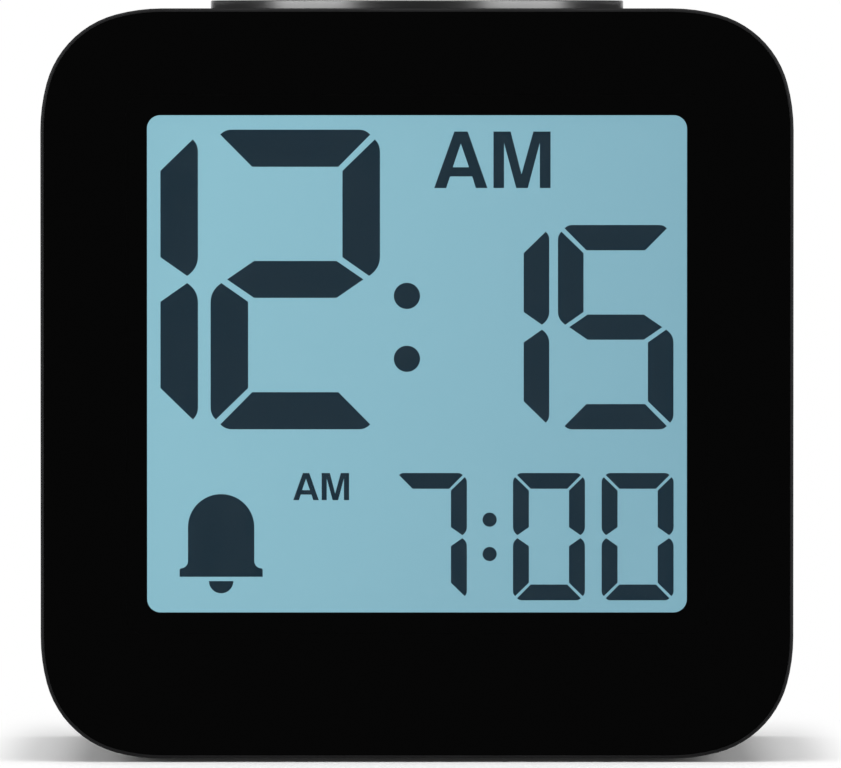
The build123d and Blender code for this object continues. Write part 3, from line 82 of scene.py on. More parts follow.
# Places on the clock, in metres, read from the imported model
FRONT_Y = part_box("front_lens")[0].y
REAR_FACE_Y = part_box("rear_panel")[1].y
DISPLAY_LOW, DISPLAY_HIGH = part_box("lcd_front_polariser")
DISPLAY_MIDDLE = (DISPLAY_LOW + DISPLAY_HIGH) / 2
DISPLAY_HALF = (DISPLAY_HIGH - DISPLAY_LOW) / 2
BUTTON_LOW, BUTTON_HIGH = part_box("top_button")

# Display figures, in millimetres: left edge, top edge, height and lit bars of each digit
TIME_DIGITS = (
    (-39.33, 63.93, 30.34, "bc"),
    (-20.90, 63.93, 30.34, "abged"),
    (1.69, 54.28, 20.70, "bc"),
    (14.27, 54.28, 20.70, "afgcd"),
)
ALARM_DIGITS = (
    (-2.24, 29.16, 12.90, "abc"),
    (9.72, 29.16, 12.90, "abcdef"),
    (18.70, 29.16, 12.90, "abcdef"),
)
# Dots of the two colons: middle across, middle up and radius
TIME_DOTS = ((-1.02, 47.10, 1.327), (-1.02, 40.73, 1.327))
ALARM_DOTS = ((7.355, 24.43, 0.719), (7.355, 20.95, 0.719))
# Morning letters: left edge, foot and height
MORNING_LETTERS = ((1.74, 58.02, 5.72), (-12.54, 26.41, 2.75))
# Bells on the display and on the alarm key: middle across, foot and the scale of the drawing
DISPLAY_BELL = (-19.84, 18.64, 1.0)
KEY_BELL = (0.0, -1.2, 0.33)

# One digit, in shares of its height: width, then the corners of bars a, f and g
DIGIT_WIDTH = 0.5653
BAR_A_TIP = (0.0324, -0.0165)
BAR_A_EDGE = 0.0698
BAR_A_ROUND = 0.0480
BAR_A_INNER = (0.1389, -0.1239)
BAR_F_TOP = (0.0174, -0.0327)
BAR_F_SIDE = (-0.0731, -0.4240)
BAR_F_ROUND = (-0.0480, -0.4640)
BAR_F_FOOT = (0.0361, -0.4881)
BAR_F_INNER = (0.1252, -0.4257, -0.1376)
BAR_G_TIP = 0.0551
BAR_G_INNER = 0.1449
BAR_G_LEVELS = (-0.4381, -0.4997, -0.5613)

# Letters A and M, in shares of their height
LETTER_POINTS = np.array([
    (0.0, 0.0), (0.2128, 0.0), (0.2812, 0.2052), (0.3298, 0.3678), (0.4711, 0.7872),
    (0.4711, 1.0), (0.3571, 1.0), (0.7371, 0.0), (0.9422, 0.0), (0.5927, 1.0),
    (0.6155, 0.3678), (0.6733, 0.2052),
    (1.0486, 0.0), (1.2356, 0.0), (1.2356, 0.7979), (1.4514, 0.0), (1.6565, 0.0),
    (1.8693, 0.7979), (1.8693, 0.0), (2.0593, 0.0), (2.0593, 1.0), (1.7553, 1.0),
    (1.5456, 0.2432), (1.3526, 1.0), (1.0486, 1.0),
])
LETTER_FACES = [
    [0, 1, 2, 3, 4, 5, 6],
    [7, 8, 9, 5, 4, 10, 11],
    [2, 11, 10, 3],
    list(range(12, 25)),
]

# Bell, in millimetres from the middle of its foot line
BELL_HALF_WIDTH = 3.359
BELL_TOP = 8.38
BELL_FLARE = 1.59
BELL_FOOT_TOP = 0.86
BELL_FOOT_HALF = 4.21
BELL_FOOT_ROUND = 0.18
CLAPPER_TOP = -0.435
CLAPPER_RADIUS = 1.24

# Marks on the back, in millimetres
SIGN_REACH = 1.2
SIGN_HALF_STROKE = 0.2
CLOCK_SIGN_RADII = (1.35, 1.08)
HAND_HALF_WIDTH = 0.1
HOUR_HAND = 0.62
MINUTE_HAND = 0.86
SLIDE_MARK_RISE = 4.1
WORD_OVERHANG = 1.2
WORD_HEIGHT = 1.35
WEDGE_HALF_LENGTH = 2.6
WEDGE_HALF_HEIGHT = 0.65

# Top button, in millimetres and degrees: a dished cap with a skirt, an actuator, guide pins and catches
BUTTON_RADIUS = 21.2
BUTTON_ROUND = 0.16
BUTTON_THICKNESS = 2.0
BUTTON_STEPS = 192
DISH_RADIUS = 18.8
DISH_DEPTH = 0.6
SKIRT_DEPTH = 5.1
SKIRT_WALL = 1.5
ACTUATOR_RADIUS = 2.2
PIN_RADIUS = 1.5
CATCH_ANGLES = (45.0, 135.0, 225.0, 315.0)
CATCH_REACH = 0.95
CATCH_HEIGHT = 1.0
CATCH_WIDTH = 5.0
# Springs on the guide pins, in millimetres and degrees
SPRING_COIL_RADIUS = 2.5
SPRING_WIRE_RADIUS = 0.22
SPRING_TURNS = 4
SPRING_CIRCLE = 13.5
SPRING_ANGLES = (90.0, 210.0, 330.0)
# Switch dome, in millimetres: radius and height from the inner ceiling, round the foot, to the outer top
DOME_PROFILE = np.array([(1.8, 2.6), (2.9, 0.0), (4.4, 0.0), (4.4, 0.6), (3.5, 0.6), (2.4, 3.2)])

# Corner radius of the clear part of the window, in millimetres, and its two colours
WINDOW_CORNER = 1.8
WINDOW_CLEAR = (0.97, 0.98, 0.98, 1.0)
WINDOW_BORDER = (0.0, 0.0, 0.0, 1.0)

# Light of the display from its left colour, 0, to its right one, 1: where it is without drift in the middle,
# its change to each edge and its drift; then the colour of the unlit face
LIGHT_MIDDLE = 0.42
LIGHT_ACROSS = 0.5
LIGHT_DOWN = 0.16
LIGHT_DRIFT = 0.16
DARK_FACE = (0.02, 0.03, 0.035, 1.0)
# Roughness of the display's face: a factor of the drift, and what is added to it
FACE_ROUGHNESS = (0.5, 0.3)

# Battery sleeves: pale band, bare tip and bare foot, in millimetres from the ends, roughness and colours
SLEEVE_BAND = 11.0
SLEEVE_TIP = 1.6
SLEEVE_FOOT = 0.7
SLEEVE_ROUGHNESS = 0.3
SLEEVE_COLOR = (0.012, 0.03, 0.055, 1.0)
BAND_COLOR = (0.42, 0.40, 0.36, 1.0)
CELL_COLOR = (0.62, 0.61, 0.58, 1.0)

# Values of moulded finishes that differ from the usual grain
CASE_GRAIN = {"grain": 3600.0, "strength": 0.22, "sockets": {"Specular IOR Level": 0.12}}
BACK_GRAIN = {"grain": 1900.0, "strength": 0.5, "depth": 0.00005}
PAD_GRAIN = {"grain": 1500.0, "strength": 0.5, "depth": 0.00006}
BUTTON_GRAIN = {
    "rough_drift": 0.06, "grain": 2600.0, "strength": 0.02, "depth": 0.000005,
    "sockets": {"Specular IOR Level": 1.0, "Coat Weight": 1.0, "Coat IOR": 1.75, "Coat Roughness": 0.26},
}
KEY_GRAIN = {"grain": 2800.0, "strength": 0.3}
# Moulded finishes of the loudspeaker and of the sealed pieces: colour, roughness, other values and nodes
SPEAKER_FINISHES = {
    "plated magnet": ((0.16, 0.16, 0.17), 0.4, {"sockets": {"Metallic": 0.6}}, ["speaker_magnet"]),
    "cone paper": ((0.03, 0.03, 0.031), 0.8, {"grain": 900.0, "strength": 0.6}, ["speaker_cone"]),
    "gasket foam": ((0.02, 0.02, 0.02), 0.95, {"grain": 1200.0, "strength": 0.8}, ["speaker_gasket"]),
}
INSIDE_FINISHES = {
    "reflective film": ((0.3, 0.42, 0.46), 0.4, {}, ["lcd_rear_film"]),
    "lamp body": ((0.8, 0.75, 0.5), 0.4, {}, ["backlight_leds"]),
    "frame plastic": ((0.62, 0.62, 0.6), 0.5, {}, ["lcd_frame"]),
    "layered rubber": ((0.4, 0.3, 0.3), 0.75, {"grain": 5000.0}, ["zebra_strips"]),
    "chip resin": ((0.01, 0.01, 0.011), 0.35, {}, ["driver_chip", "voice_chip"]),
    "capacitor sleeve": ((0.015, 0.03, 0.1), 0.3, {}, ["board_capacitors"]),
    "socket plastic": ((0.7, 0.67, 0.58), 0.5, {}, ["board_connectors"]),
    "switch plastic": ((0.02, 0.02, 0.021), 0.5, {}, ["key_switches", "slide_switches"]),
    "plunger plastic": ((0.12, 0.12, 0.12), 0.45, {}, [
        "time_key_plunger", "alarm_key_plunger", "plus_key_plunger", "minus_key_plunger",
        "alarm_slider", "volume_slider",
    ]),
    "red sleeve": ((0.3, 0.012, 0.01), 0.45, {}, ["battery_leads", "talk_leads"]),
    "black sleeve": ((0.012, 0.012, 0.012), 0.45, {}, ["speaker_leads"]),
    "grey ribbon": ((0.3, 0.3, 0.31), 0.5, {}, ["key_ribbons"]),
}
# Metal finishes: colour, roughness and how far the fine lines are drawn out along each axis
METALS = {
    "blackened screw": ((0.05, 0.05, 0.052), 0.42, (1.0, 1.0, 1.0)),
    "spring wire": ((0.62, 0.61, 0.58), 0.28, (0.05, 1.0, 1.0)),
    "pressed steel": ((0.5, 0.5, 0.5), 0.35, (0.05, 1.0, 1.0)),
    "contact plate": ((0.66, 0.65, 0.62), 0.25, (1.0, 0.06, 1.0)),
    "plated steel": ((0.6, 0.6, 0.58), 0.3, (0.05, 1.0, 1.0)),
}
# Clear finishes: refractive index, strength of the wiping marks and colour
GLASSES = {
    "front window": (1.45, 0.03, (1.0, 1.0, 1.0)),
    "display glass": (1.5, 0.02, (0.85, 0.92, 0.94)),
    "light guide": (1.49, 0.1, (0.9, 0.95, 0.96)),
}
# Strength and depth, in metres, of the lines in drawn metal and of the tracks on the boards, and the drift of
# the metal's colour and roughness along the lines
METAL_LINES = (0.12, 0.00002)
BOARD_TRACKS = (0.2, 0.00003)
METAL_DRIFT = (0.4, 0.3)

# Smooth shading: points this close, in metres, become one; edges over this angle, in degrees, stay sharp
JOIN_DISTANCE = 0.0000005
SHARP_ANGLE = 28.0

# Studio, in metres: the floor's corners and the lengths over which it fades into white, across and along
FLOOR_CORNERS = ((-1.5, -1.2, 0.0), (1.5, -1.2, 0.0), (1.5, 2.4, 0.0), (-1.5, 2.4, 0.0))
FLOOR_FADE = (0.0078, 0.1, 1.0)
# Roughness of the floor: a factor of its mottle, and what is added to it
FLOOR_ROUGHNESS = (0.1, 0.85)
# Share of white in the darkest shadow, brightness of the dim room that the clock reflects, and the cosines
# between which that room turns white behind the clock
FLOOR_LIFT = 0.02
ROOM_LEVEL = 0.06
BACKDROP_EDGE = (0.94, 0.99)
WHITE = (1.0, 1.0, 1.0, 1.0)
# Softboxes, in metres: place, the point that each is turned to, and its width and height
SOFTBOXES = {
    "left": ((-0.80, -0.44, 0.27), (0.0, 0.0, 0.04), (0.85, 0.6)),
    "right": ((0.81, -0.42, 0.27), (0.0, 0.0, 0.04), (0.9, 0.6)),
    "top": ((0.0, -0.05, 1.0), (0.0, 0.0, 0.0), (1.2, 0.7)),
}
# Camera: width of its sensor, in millimetres, and the nearest and farthest point that it sees, in metres
SENSOR_WIDTH = 36.0
CAMERA_CLIP = (0.05, 20.0)


# Flat outlines
def bend(start, corner, end, steps=8):
    """Points of a soft corner: start*(1-t)^2 + 2*corner*t*(1-t) + end*t^2 for t from 0 to 1."""
    t = np.linspace(0.0, 1.0, steps)[:, None]
    start, corner, end = np.array(start), np.array(corner), np.array(end)
    return start * (1 - t) ** 2 + 2 * corner * t * (1 - t) + end * t ** 2


def arc(middle, radius, first, last, steps=ARC_STEPS):
    """Points middle + radius*(cos a, sin a) for a from first to last degrees."""
    angle = np.radians(np.linspace(first, last, steps))
    return np.array(middle) + radius * np.stack((np.cos(angle), np.sin(angle)), axis=1)


def circle(middle, radius):
    """Points of a whole circle, counterclockwise."""
    return arc(middle, radius, 0.0, 360.0, 2 * ARC_STEPS + 1)[:-1]


def digit_bars():
    """The seven bars of a digit of height 1, by letter, with the top left corner at the origin.
    Bars b to e are bars a and f turned over about the digit's middle lines."""
    width = DIGIT_WIDTH
    over, across = (1.0, -1.0), (-1.0, 1.0)
    drop, shift = (0.0, -1.0), (width, 0.0)
    left = np.concatenate(([BAR_A_INNER], bend(BAR_A_TIP, (BAR_A_ROUND, 0.0), (BAR_A_EDGE, 0.0))))
    bar_a = np.concatenate((left, left[::-1] * across + shift))
    side_top, side_foot = BAR_F_SIDE
    round_top, round_foot = BAR_F_ROUND
    inset, inner_foot, inner_top = BAR_F_INNER
    top = bend(BAR_F_TOP, (0.0, round_top), (0.0, side_top))
    foot = bend((0.0, side_foot), (0.0, round_foot), BAR_F_FOOT)
    bar_f = np.concatenate((top, foot, [(inset, inner_foot), (inset, inner_top)]))
    bar_b = bar_f * across + shift
    high, middle, low = BAR_G_LEVELS
    bar_g = np.array([
        (BAR_G_TIP, middle), (BAR_G_INNER, high), (width - BAR_G_INNER, high),
        (width - BAR_G_TIP, middle), (width - BAR_G_INNER, low), (BAR_G_INNER, low),
    ])
    return {
        "a": bar_a, "b": bar_b, "c": bar_b * over + drop, "d": bar_a * over + drop,
        "e": bar_f * over + drop, "f": bar_f, "g": bar_g,
    }


def digit_outlines(digits):
    """The lit bars of each digit: bar*height + (left, top)."""
    bars = digit_bars()
    return [
        bars[letter] * height + (left, top)
        for left, top, height, lit in digits
        for letter in lit
    ]


def dot_outlines(dots):
    """A round outline for each dot."""
    return [arc((across, up), radius, 0.0, 360.0, 2 * ARC_STEPS)[:-1] for across, up, radius in dots]


def bell_outlines(across, foot, scale):
    """A bell: half circle, straight sides, a hollow flare and a foot, with a half round clapper."""
    middle = BELL_TOP - BELL_HALF_WIDTH
    flare = BELL_FLARE - BELL_FOOT_TOP
    dome = arc((0.0, middle), BELL_HALF_WIDTH, 0.0, 180.0, 2 * ARC_STEPS)
    hollow = arc((-BELL_HALF_WIDTH - flare, BELL_FLARE), flare, 0.0, -90.0, ARC_STEPS // 2)
    shoulder = arc(
        (-BELL_FOOT_HALF + BELL_FOOT_ROUND, BELL_FOOT_TOP - BELL_FOOT_ROUND),
        BELL_FOOT_ROUND, 90.0, 180.0, ARC_STEPS // 4,
    )
    left = np.concatenate((hollow, shoulder, [(-BELL_FOOT_HALF, 0.0)]))
    right = left[::-1] * (-1.0, 1.0)
    clapper = arc((0.0, CLAPPER_TOP), CLAPPER_RADIUS, 180.0, 360.0)
    place = (across, foot)
    return [np.concatenate((dome, left, right)) * scale + place, clapper * scale + place]


def counterclockwise(outline):
    """The outline, turned round if its signed area (half the sum of x*dy - y*dx) is negative."""
    x, y = outline[:, 0], outline[:, 1]
    area = np.sum(x * np.roll(y, -1) - y * np.roll(x, -1))
    return outline if area > 0 else outline[::-1]


# Points and faces
def joined(shapes):
    """Points and faces of several shapes as one."""
    starts = np.cumsum([0] + [len(points) for points, _ in shapes])
    faces = [
        [index + start for index in face]
        for start, (_, shape_faces) in zip(starts.tolist(), shapes)
        for face in shape_faces
    ]
    return np.concatenate([points for points, _ in shapes]), faces


def gather(outlines):
    """Points and faces of flat outlines, one face each."""
    turned = [counterclockwise(np.array(outline)) for outline in outlines]
    return joined([(outline, [list(range(len(outline)))]) for outline in turned])


def closed_rings(rings):
    """Points and faces of rings joined by quads, each to the next, with flat faces on both end rings."""
    count, around = rings.shape[:2]
    index = np.arange(count * around).reshape(count, around)
    after = np.roll(index, -1, axis=1)
    quads = np.stack((index[:-1], after[:-1], after[1:], index[1:]), axis=2).reshape(-1, 4)
    return rings.reshape(-1, 3), quads.tolist() + [index[0][::-1].tolist(), index[-1].tolist()]


def coil_rings(middle, low, high):
    """A wire wound about an upright line: rings about the points (R cos a, R sin a, low + rise*a), each ring
    spanned by the outward direction and by the direction across it and the wire."""
    angle = np.linspace(0.0, 2 * math.pi * SPRING_TURNS, SPRING_TURNS * 2 * ARC_STEPS + 1)[:, None]
    rise = (high - low) / (2 * math.pi * SPRING_TURNS)
    flat = np.zeros_like(angle)
    outward = np.concatenate((np.cos(angle), np.sin(angle), flat), axis=1)
    radius = SPRING_COIL_RADIUS * MM
    along = np.concatenate((-radius * np.sin(angle), radius * np.cos(angle), flat + rise), axis=1)
    along /= np.linalg.norm(along, axis=1)[:, None]
    across = np.cross(along, outward)
    axis = np.concatenate((flat + middle[0], flat + middle[1], low + rise * angle), axis=1)
    centre = radius * outward + axis
    turn = np.linspace(0.0, 2 * math.pi, ARC_STEPS // 2, endpoint=False)[None, :, None]
    ring = np.cos(turn) * outward[:, None, :] + np.sin(turn) * across[:, None, :]
    return centre[:, None, :] + SPRING_WIRE_RADIUS * MM * ring


def upright_rings(outline, low, high):
    """A flat outline of millimetres carried straight up: (x, y, low) and (x, y, high)."""
    flat = np.broadcast_to(outline, (2, *outline.shape))
    levels = np.broadcast_to(np.array((low, high))[:, None, None], (2, len(outline), 1))
    return np.concatenate((flat, levels), axis=2) * MM


def turned_rings(profile, base, steps=2 * ARC_STEPS):
    """A profile of (radius r, height h) turned about the middle line: (r cos a, r sin a, base + h)."""
    angle = np.linspace(0.0, 2 * math.pi, steps, endpoint=False)
    radius = profile[:, :1] * MM
    height = np.repeat(base + profile[:, 1:] * MM, len(angle), axis=1)
    return np.stack((radius * np.cos(angle), radius * np.sin(angle), height), axis=2)


def new_object(name, data):
    """An object in the scene that holds a mesh, a curve, a light or a camera."""
    holder = bpy.data.objects.new(name, data)
    bpy.context.scene.collection.objects.link(holder)
    return holder


def word_points(word, height):
    """Flat points and faces of a word of capitals, in millimetres, with its middle at the origin."""
    curve = bpy.data.curves.new("word", "FONT")
    curve.body = word
    curve.align_x = "CENTER"
    curve.resolution_u = 4
    source = new_object("word", curve)
    bpy.context.view_layer.update()
    mesh = bpy.data.meshes.new_from_object(source)
    flat = np.empty(len(mesh.vertices) * 3)
    mesh.vertices.foreach_get("co", flat)
    flat = flat.reshape(-1, 3)[:, :2]
    low, high = flat.min(axis=0), flat.max(axis=0)
    faces = [list(polygon.vertices) for polygon in mesh.polygons]
    bpy.data.objects.remove(source)
    bpy.data.curves.remove(curve)
    bpy.data.meshes.remove(mesh)
    return (flat - (low + high) / 2) * (height / (high[1] - low[1])), faces


# Pieces
def new_piece(name, points, faces, material, body):
    """An object made of points and faces that rides on a body."""
    mesh = bpy.data.meshes.new(name)
    mesh.from_pydata(points.tolist(), [], faces)
    mesh.update()
    mesh.materials.append(material)
    piece = new_object(name, mesh)
    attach(piece, body)
    return piece


def relief(name, points, faces, level, depth, outward, material, body):
    """Flat faces at a level on Y, thickened inwards. Outward is -1 for the front, where a point (u, v) goes
    to (u, level, v), and +1 for the back, where it goes to (-u, level, v). Points are millimetres."""
    places = np.empty((len(points), 3))
    places[:, 0] = -outward * points[:, 0] * MM
    places[:, 1] = level
    places[:, 2] = points[:, 1] * MM
    piece = new_piece(name, places, faces, material, body)
    thicken = piece.modifiers.new("thickness", "SOLIDIFY")
    thicken.thickness = depth
    thicken.offset = -1.0


def smoothing_group():
    """Joins the loose triangles and shades them smooth, except across edges sharper than a limit."""
    tree = bpy.data.node_groups.new("smooth solids", "GeometryNodeTree")
    for side in ("INPUT", "OUTPUT"):
        tree.interface.new_socket("Geometry", in_out=side, socket_type="NodeSocketGeometry")
    source = add(tree, "NodeGroupInput").outputs[0]
    shape = add(tree, "GeometryNodeMergeByDistance", {0: source, "Distance": JOIN_DISTANCE}).outputs[0]
    angle = add(tree, "GeometryNodeInputMeshEdgeAngle").outputs["Unsigned Angle"]
    limits = {0: angle, 1: math.radians(SHARP_ANGLE)}
    sharp = add(tree, "FunctionNodeCompare", limits, operation="GREATER_THAN").outputs[0]
    for domain, chosen, smooth in (("FACE", True, True), ("EDGE", sharp, False)):
        inputs = {0: shape, "Selection": chosen, "Shade Smooth": smooth}
        shape = add(tree, "GeometryNodeSetShadeSmooth", inputs, domain=domain).outputs[0]
    add(tree, "NodeGroupOutput", {0: shape})
    return tree


def shade(piece):
    """Gives an object smooth shading."""
    smooth = piece.modifiers.new("smooth solids", "NODES")
    smooth.node_group = shared("smooth solids", smoothing_group)
    even = piece.modifiers.new("even normals", "WEIGHTED_NORMAL")
    even.keep_sharp = True


def dress(material, *names):
    """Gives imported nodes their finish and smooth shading."""
    for name in names:
        node = frame["nodes"][name]
        node.data.materials.clear()
        node.data.materials.append(material)
        shade(node)


def joint_reach(name):
    """How far a sliding joint goes from rest, in metres."""
    slide = next(joint for joint in frame["joints"] if joint["name"] == name)
    return max(abs(limit) for limit in slide["range_m"])


# Nodes
def feed(tree, node, inputs):
    """Feeds a node's inputs with other nodes' outputs or with plain values."""
    for key, value in inputs.items():
        if isinstance(value, bpy.types.NodeSocket):
            tree.links.new(value, node.inputs[key])
        else:
            node.inputs[key].default_value = value


def add(tree, kind, inputs=None, **settings):
    """A new node with some settings and fed inputs."""
    node = tree.nodes.new(kind)
    for key, value in settings.items():
        setattr(node, key, value)
    feed(tree, node, inputs or {})
    return node


def maths(tree, operation, *values):
    """Output of a Math node."""
    return add(tree, "ShaderNodeMath", dict(enumerate(values)), operation=operation).outputs[0]


def vector_maths(tree, operation, *values):
    """Vector output of a Vector Math node."""
    return add(tree, "ShaderNodeVectorMath", dict(enumerate(values)), operation=operation).outputs[0]


def noise(tree, vector, scale, detail, roughness=0.5):
    """Value of a Noise Texture node."""
    inputs = {"Vector": vector, "Scale": scale, "Detail": detail, "Roughness": roughness}
    return add(tree, "ShaderNodeTexNoise", inputs).outputs[0]


def mixed(tree, factor, first, second):
    """First colour where the factor is 0 and second where it is 1."""
    inputs = {"Factor": factor, "A": first, "B": second}
    return add(tree, "ShaderNodeMix", inputs, data_type="RGBA", clamp_factor=True).outputs["Result"]


def outside_box(tree, vector, middle, half, spread):
    """How far a point p lies outside a box: the length of max(|p - middle| - half, 0) / spread."""
    folded = vector_maths(tree, "ABSOLUTE", vector_maths(tree, "SUBTRACT", vector, middle))
    beyond = vector_maths(tree, "MAXIMUM", vector_maths(tree, "SUBTRACT", folded, half), (0.0, 0.0, 0.0))
    shares = vector_maths(tree, "DIVIDE", beyond, spread)
    return add(tree, "ShaderNodeVectorMath", {0: shares}, operation="LENGTH").outputs["Value"]


def finish_group(name, inputs):
    """An empty group for a finish. It takes a vector and its own inputs, by name with their defaults, and
    puts out a colour, a roughness and a height."""
    tree = bpy.data.node_groups.new(name, "ShaderNodeTree")
    tree.interface.new_socket("Vector", in_out="INPUT", socket_type="NodeSocketVector")
    kinds = {1: "NodeSocketFloat", 3: "NodeSocketVector", 4: "NodeSocketColor"}
    for label, default in inputs.items():
        kind = kinds[np.size(default)]
        tree.interface.new_socket(label, in_out="INPUT", socket_type=kind).default_value = default
    for label, size in (("Color", 4), ("Roughness", 1), ("Height", 1)):
        tree.interface.new_socket(label, in_out="OUTPUT", socket_type=kinds[size])
    return tree, add(tree, "NodeGroupInput").outputs


def end_finish(tree, source, swing, colour_drift, rough_drift, height):
    """Puts out the colour times 1 + swing*drift, the roughness plus swing*drift, and a height."""
    tone = maths(tree, "MULTIPLY_ADD", swing, colour_drift, 1.0)
    colour = add(tree, "ShaderNodeVectorMath", {0: source["Color"], "Scale": tone}, operation="SCALE")
    rough = maths(tree, "MULTIPLY_ADD", swing, rough_drift, source["Roughness"])
    add(tree, "NodeGroupOutput", {"Color": colour.outputs[0], "Roughness": rough, "Height": height})
    return tree


def grain_group():
    """Moulded grain: a fine height, and a colour and a roughness that drift with it and in soft patches."""
    tree, source = finish_group("moulded grain", {
        "Color": (0.5, 0.5, 0.5, 1.0), "Color Drift": 0.2, "Roughness": 0.5, "Roughness Drift": 0.1,
        "Grain Scale": 3000.0, "Patch Scale": 120.0,
    })
    vector = source["Vector"]
    fine = noise(tree, vector, source["Grain Scale"], detail=3.0, roughness=0.6)
    patch = noise(tree, vector, source["Patch Scale"], detail=4.0, roughness=0.6)
    swings = [maths(tree, "SUBTRACT", texture, NOISE_MIDDLE) for texture in (fine, patch)]
    both = maths(tree, "ADD", *swings)
    return end_finish(tree, source, both, source["Color Drift"], source["Roughness Drift"], fine)


def line_group():
    """Drawn metal: fine lines along one direction, in a height, a roughness and faintly in the colour."""
    tree, source = finish_group("drawn metal", {
        "Color": (0.6, 0.6, 0.6, 1.0), "Roughness": 0.3, "Stretch": (1.0, 1.0, 1.0),
    })
    stretched = vector_maths(tree, "MULTIPLY", source["Vector"], source["Stretch"])
    lines = noise(tree, stretched, scale=900.0, detail=5.0, roughness=0.7)
    swing = maths(tree, "SUBTRACT", lines, NOISE_MIDDLE)
    return end_finish(tree, source, swing, *METAL_DRIFT, lines)


def shared(name, maker):
    """A node group that is made once and then used again."""
    return bpy.data.node_groups.get(name) or maker()


# Materials
def opaque(colour):
    """A colour with full alpha."""
    return (*tuple(colour)[:3], 1.0)


def blank_material(name):
    """A material with only its Principled shader and the object's own coordinates."""
    material = bpy.data.materials.new(name)
    material.use_nodes = True
    tree = material.node_tree
    shader = next(node for node in tree.nodes if node.type == "BSDF_PRINCIPLED")
    return material, tree, shader, add(tree, "ShaderNodeTexCoord").outputs["Object"]


def bump(tree, shader, height, strength, depth):
    """Feeds a height into the shader's normal."""
    node = add(tree, "ShaderNodeBump", {"Height": height, "Strength": strength, "Distance": depth})
    feed(tree, shader, {"Normal": node.outputs["Normal"]})


def grouped(name, group, values, strength, depth, sockets):
    """A material, made once, whose colour, roughness and bump come from a finish group."""
    known = bpy.data.materials.get(name)
    if known:
        return known
    material, tree, shader, vector = blank_material(name)
    finish = add(tree, "ShaderNodeGroup", {"Vector": vector, **values}, node_tree=group).outputs
    feed(tree, shader, {"Base Color": finish["Color"], "Roughness": finish["Roughness"], **sockets})
    bump(tree, shader, finish["Height"], strength, depth)
    return material


def moulded(name, colour, roughness, drift=0.25, rough_drift=0.12, grain=3200.0, patch=150.0,
            strength=0.25, depth=0.00003, sockets=None):
    """A moulded, printed or cast finish made with the grain group."""
    values = {
        "Color": opaque(colour), "Color Drift": drift, "Roughness": roughness,
        "Roughness Drift": rough_drift, "Grain Scale": grain, "Patch Scale": patch,
    }
    return grouped(name, shared("moulded grain", grain_group), values, strength, depth, sockets or {})


def dress_moulded(finishes):
    """Makes each moulded finish of a table and gives it to its nodes."""
    for name, (colour, roughness, values, nodes) in finishes.items():
        dress(moulded(name, colour, roughness, **values), *nodes)


def drawn_metal(name):
    """A finish of the table of metals, made with the line group."""
    colour, roughness, stretch = METALS[name]
    values = {"Stretch": stretch, "Color": opaque(colour), "Roughness": roughness}
    return grouped(name, shared("drawn metal", line_group), values, *METAL_LINES, {"Metallic": 1.0})


def clear_glass(name):
    """A finish of the table of clear ones, with faint wiping marks in its roughness."""
    ior, marks, colour = GLASSES[name]
    material, tree, shader, vector = blank_material(name)
    wiped = noise(tree, vector, scale=60.0, detail=6.0, roughness=0.7)
    rough = maths(tree, "MULTIPLY", wiped, marks)
    feed(tree, shader, {
        "Base Color": opaque(colour), "Roughness": rough, "IOR": ior, "Transmission Weight": 1.0,
    })
    return material, tree, shader, vector


# Settings
def colour_setting(name, description, default):
    """A colour that a user can change."""
    return FloatVectorProperty(
        name=name, description=description, subtype="COLOR", size=3, default=default, min=0.0, max=1.0,
    )


def length_setting(name, description, default, least):
    """A length, in metres, that a user can change."""
    return FloatProperty(name=name, description=description, unit="LENGTH", default=default, min=least)


def light_setting(name, description, default):
    """The strength of a light that a user can change."""
    return FloatProperty(name=name, description=description, default=default, min=0.0)


class ClockFinishSettings(bpy.types.PropertyGroup):
    """Colours of the case and its controls."""

    case_color: colour_setting("Case", "Plastic of the case", (0.0105, 0.0105, 0.011))
    button_color: colour_setting("Top button", "Plastic of the round button", (0.013, 0.013, 0.0135))
    key_color: colour_setting("Keys", "Plastic of the rear keys and slides", (0.055, 0.056, 0.058))
    mark_color: colour_setting("Marks", "Printed marks on the back", (0.62, 0.62, 0.6))
    mark_depth: length_setting("Mark thickness", "Thickness of the printed marks", 0.00004, 0.00001)


class ClockDisplaySettings(bpy.types.PropertyGroup):
    """Light, ink and thickness of the display."""

    left_color: colour_setting("Left light", "Colour at the display's left edge", (0.275, 0.545, 0.644))
    right_color: colour_setting("Right light", "Colour at the display's right edge", (0.229, 0.449, 0.545))
    ink_color: colour_setting("Figures", "Colour of the dark figures", (0.0045, 0.0205, 0.0343))
    figure_depth: length_setting("Figure thickness", "Thickness of the dark figures", 0.00004, 0.00001)


class ClockStageSettings(bpy.types.PropertyGroup):
    """Camera and lights."""

    camera_distance: length_setting("Camera distance", "From the clock's front to the camera", 1.4, 0.2)
    camera_elevation: FloatProperty(
        name="Camera elevation", description="How far the camera looks down", subtype="ANGLE",
        default=math.radians(1.5),
    )
    view_width: length_setting("View width", "Width of the view at the front of the clock", 0.08497, 0.01)
    view_middle: FloatVectorProperty(
        name="View middle", description="Point of the clock's front at the middle of the view",
        subtype="TRANSLATION", size=3, default=(0.000354, FRONT_Y, 0.03826),
    )
    left_power: light_setting("Left light", "Power of the softbox at the left", 6.4)
    right_power: light_setting("Right light", "Power of the softbox at the right", 6.6)
    top_power: light_setting("Top light", "Power of the softbox overhead", 6.5)
    fill: light_setting("Fill", "Strength of the light from all round", 0.36)
    floor_color: colour_setting("Floor", "Colour of the floor", (0.94, 0.94, 0.94))


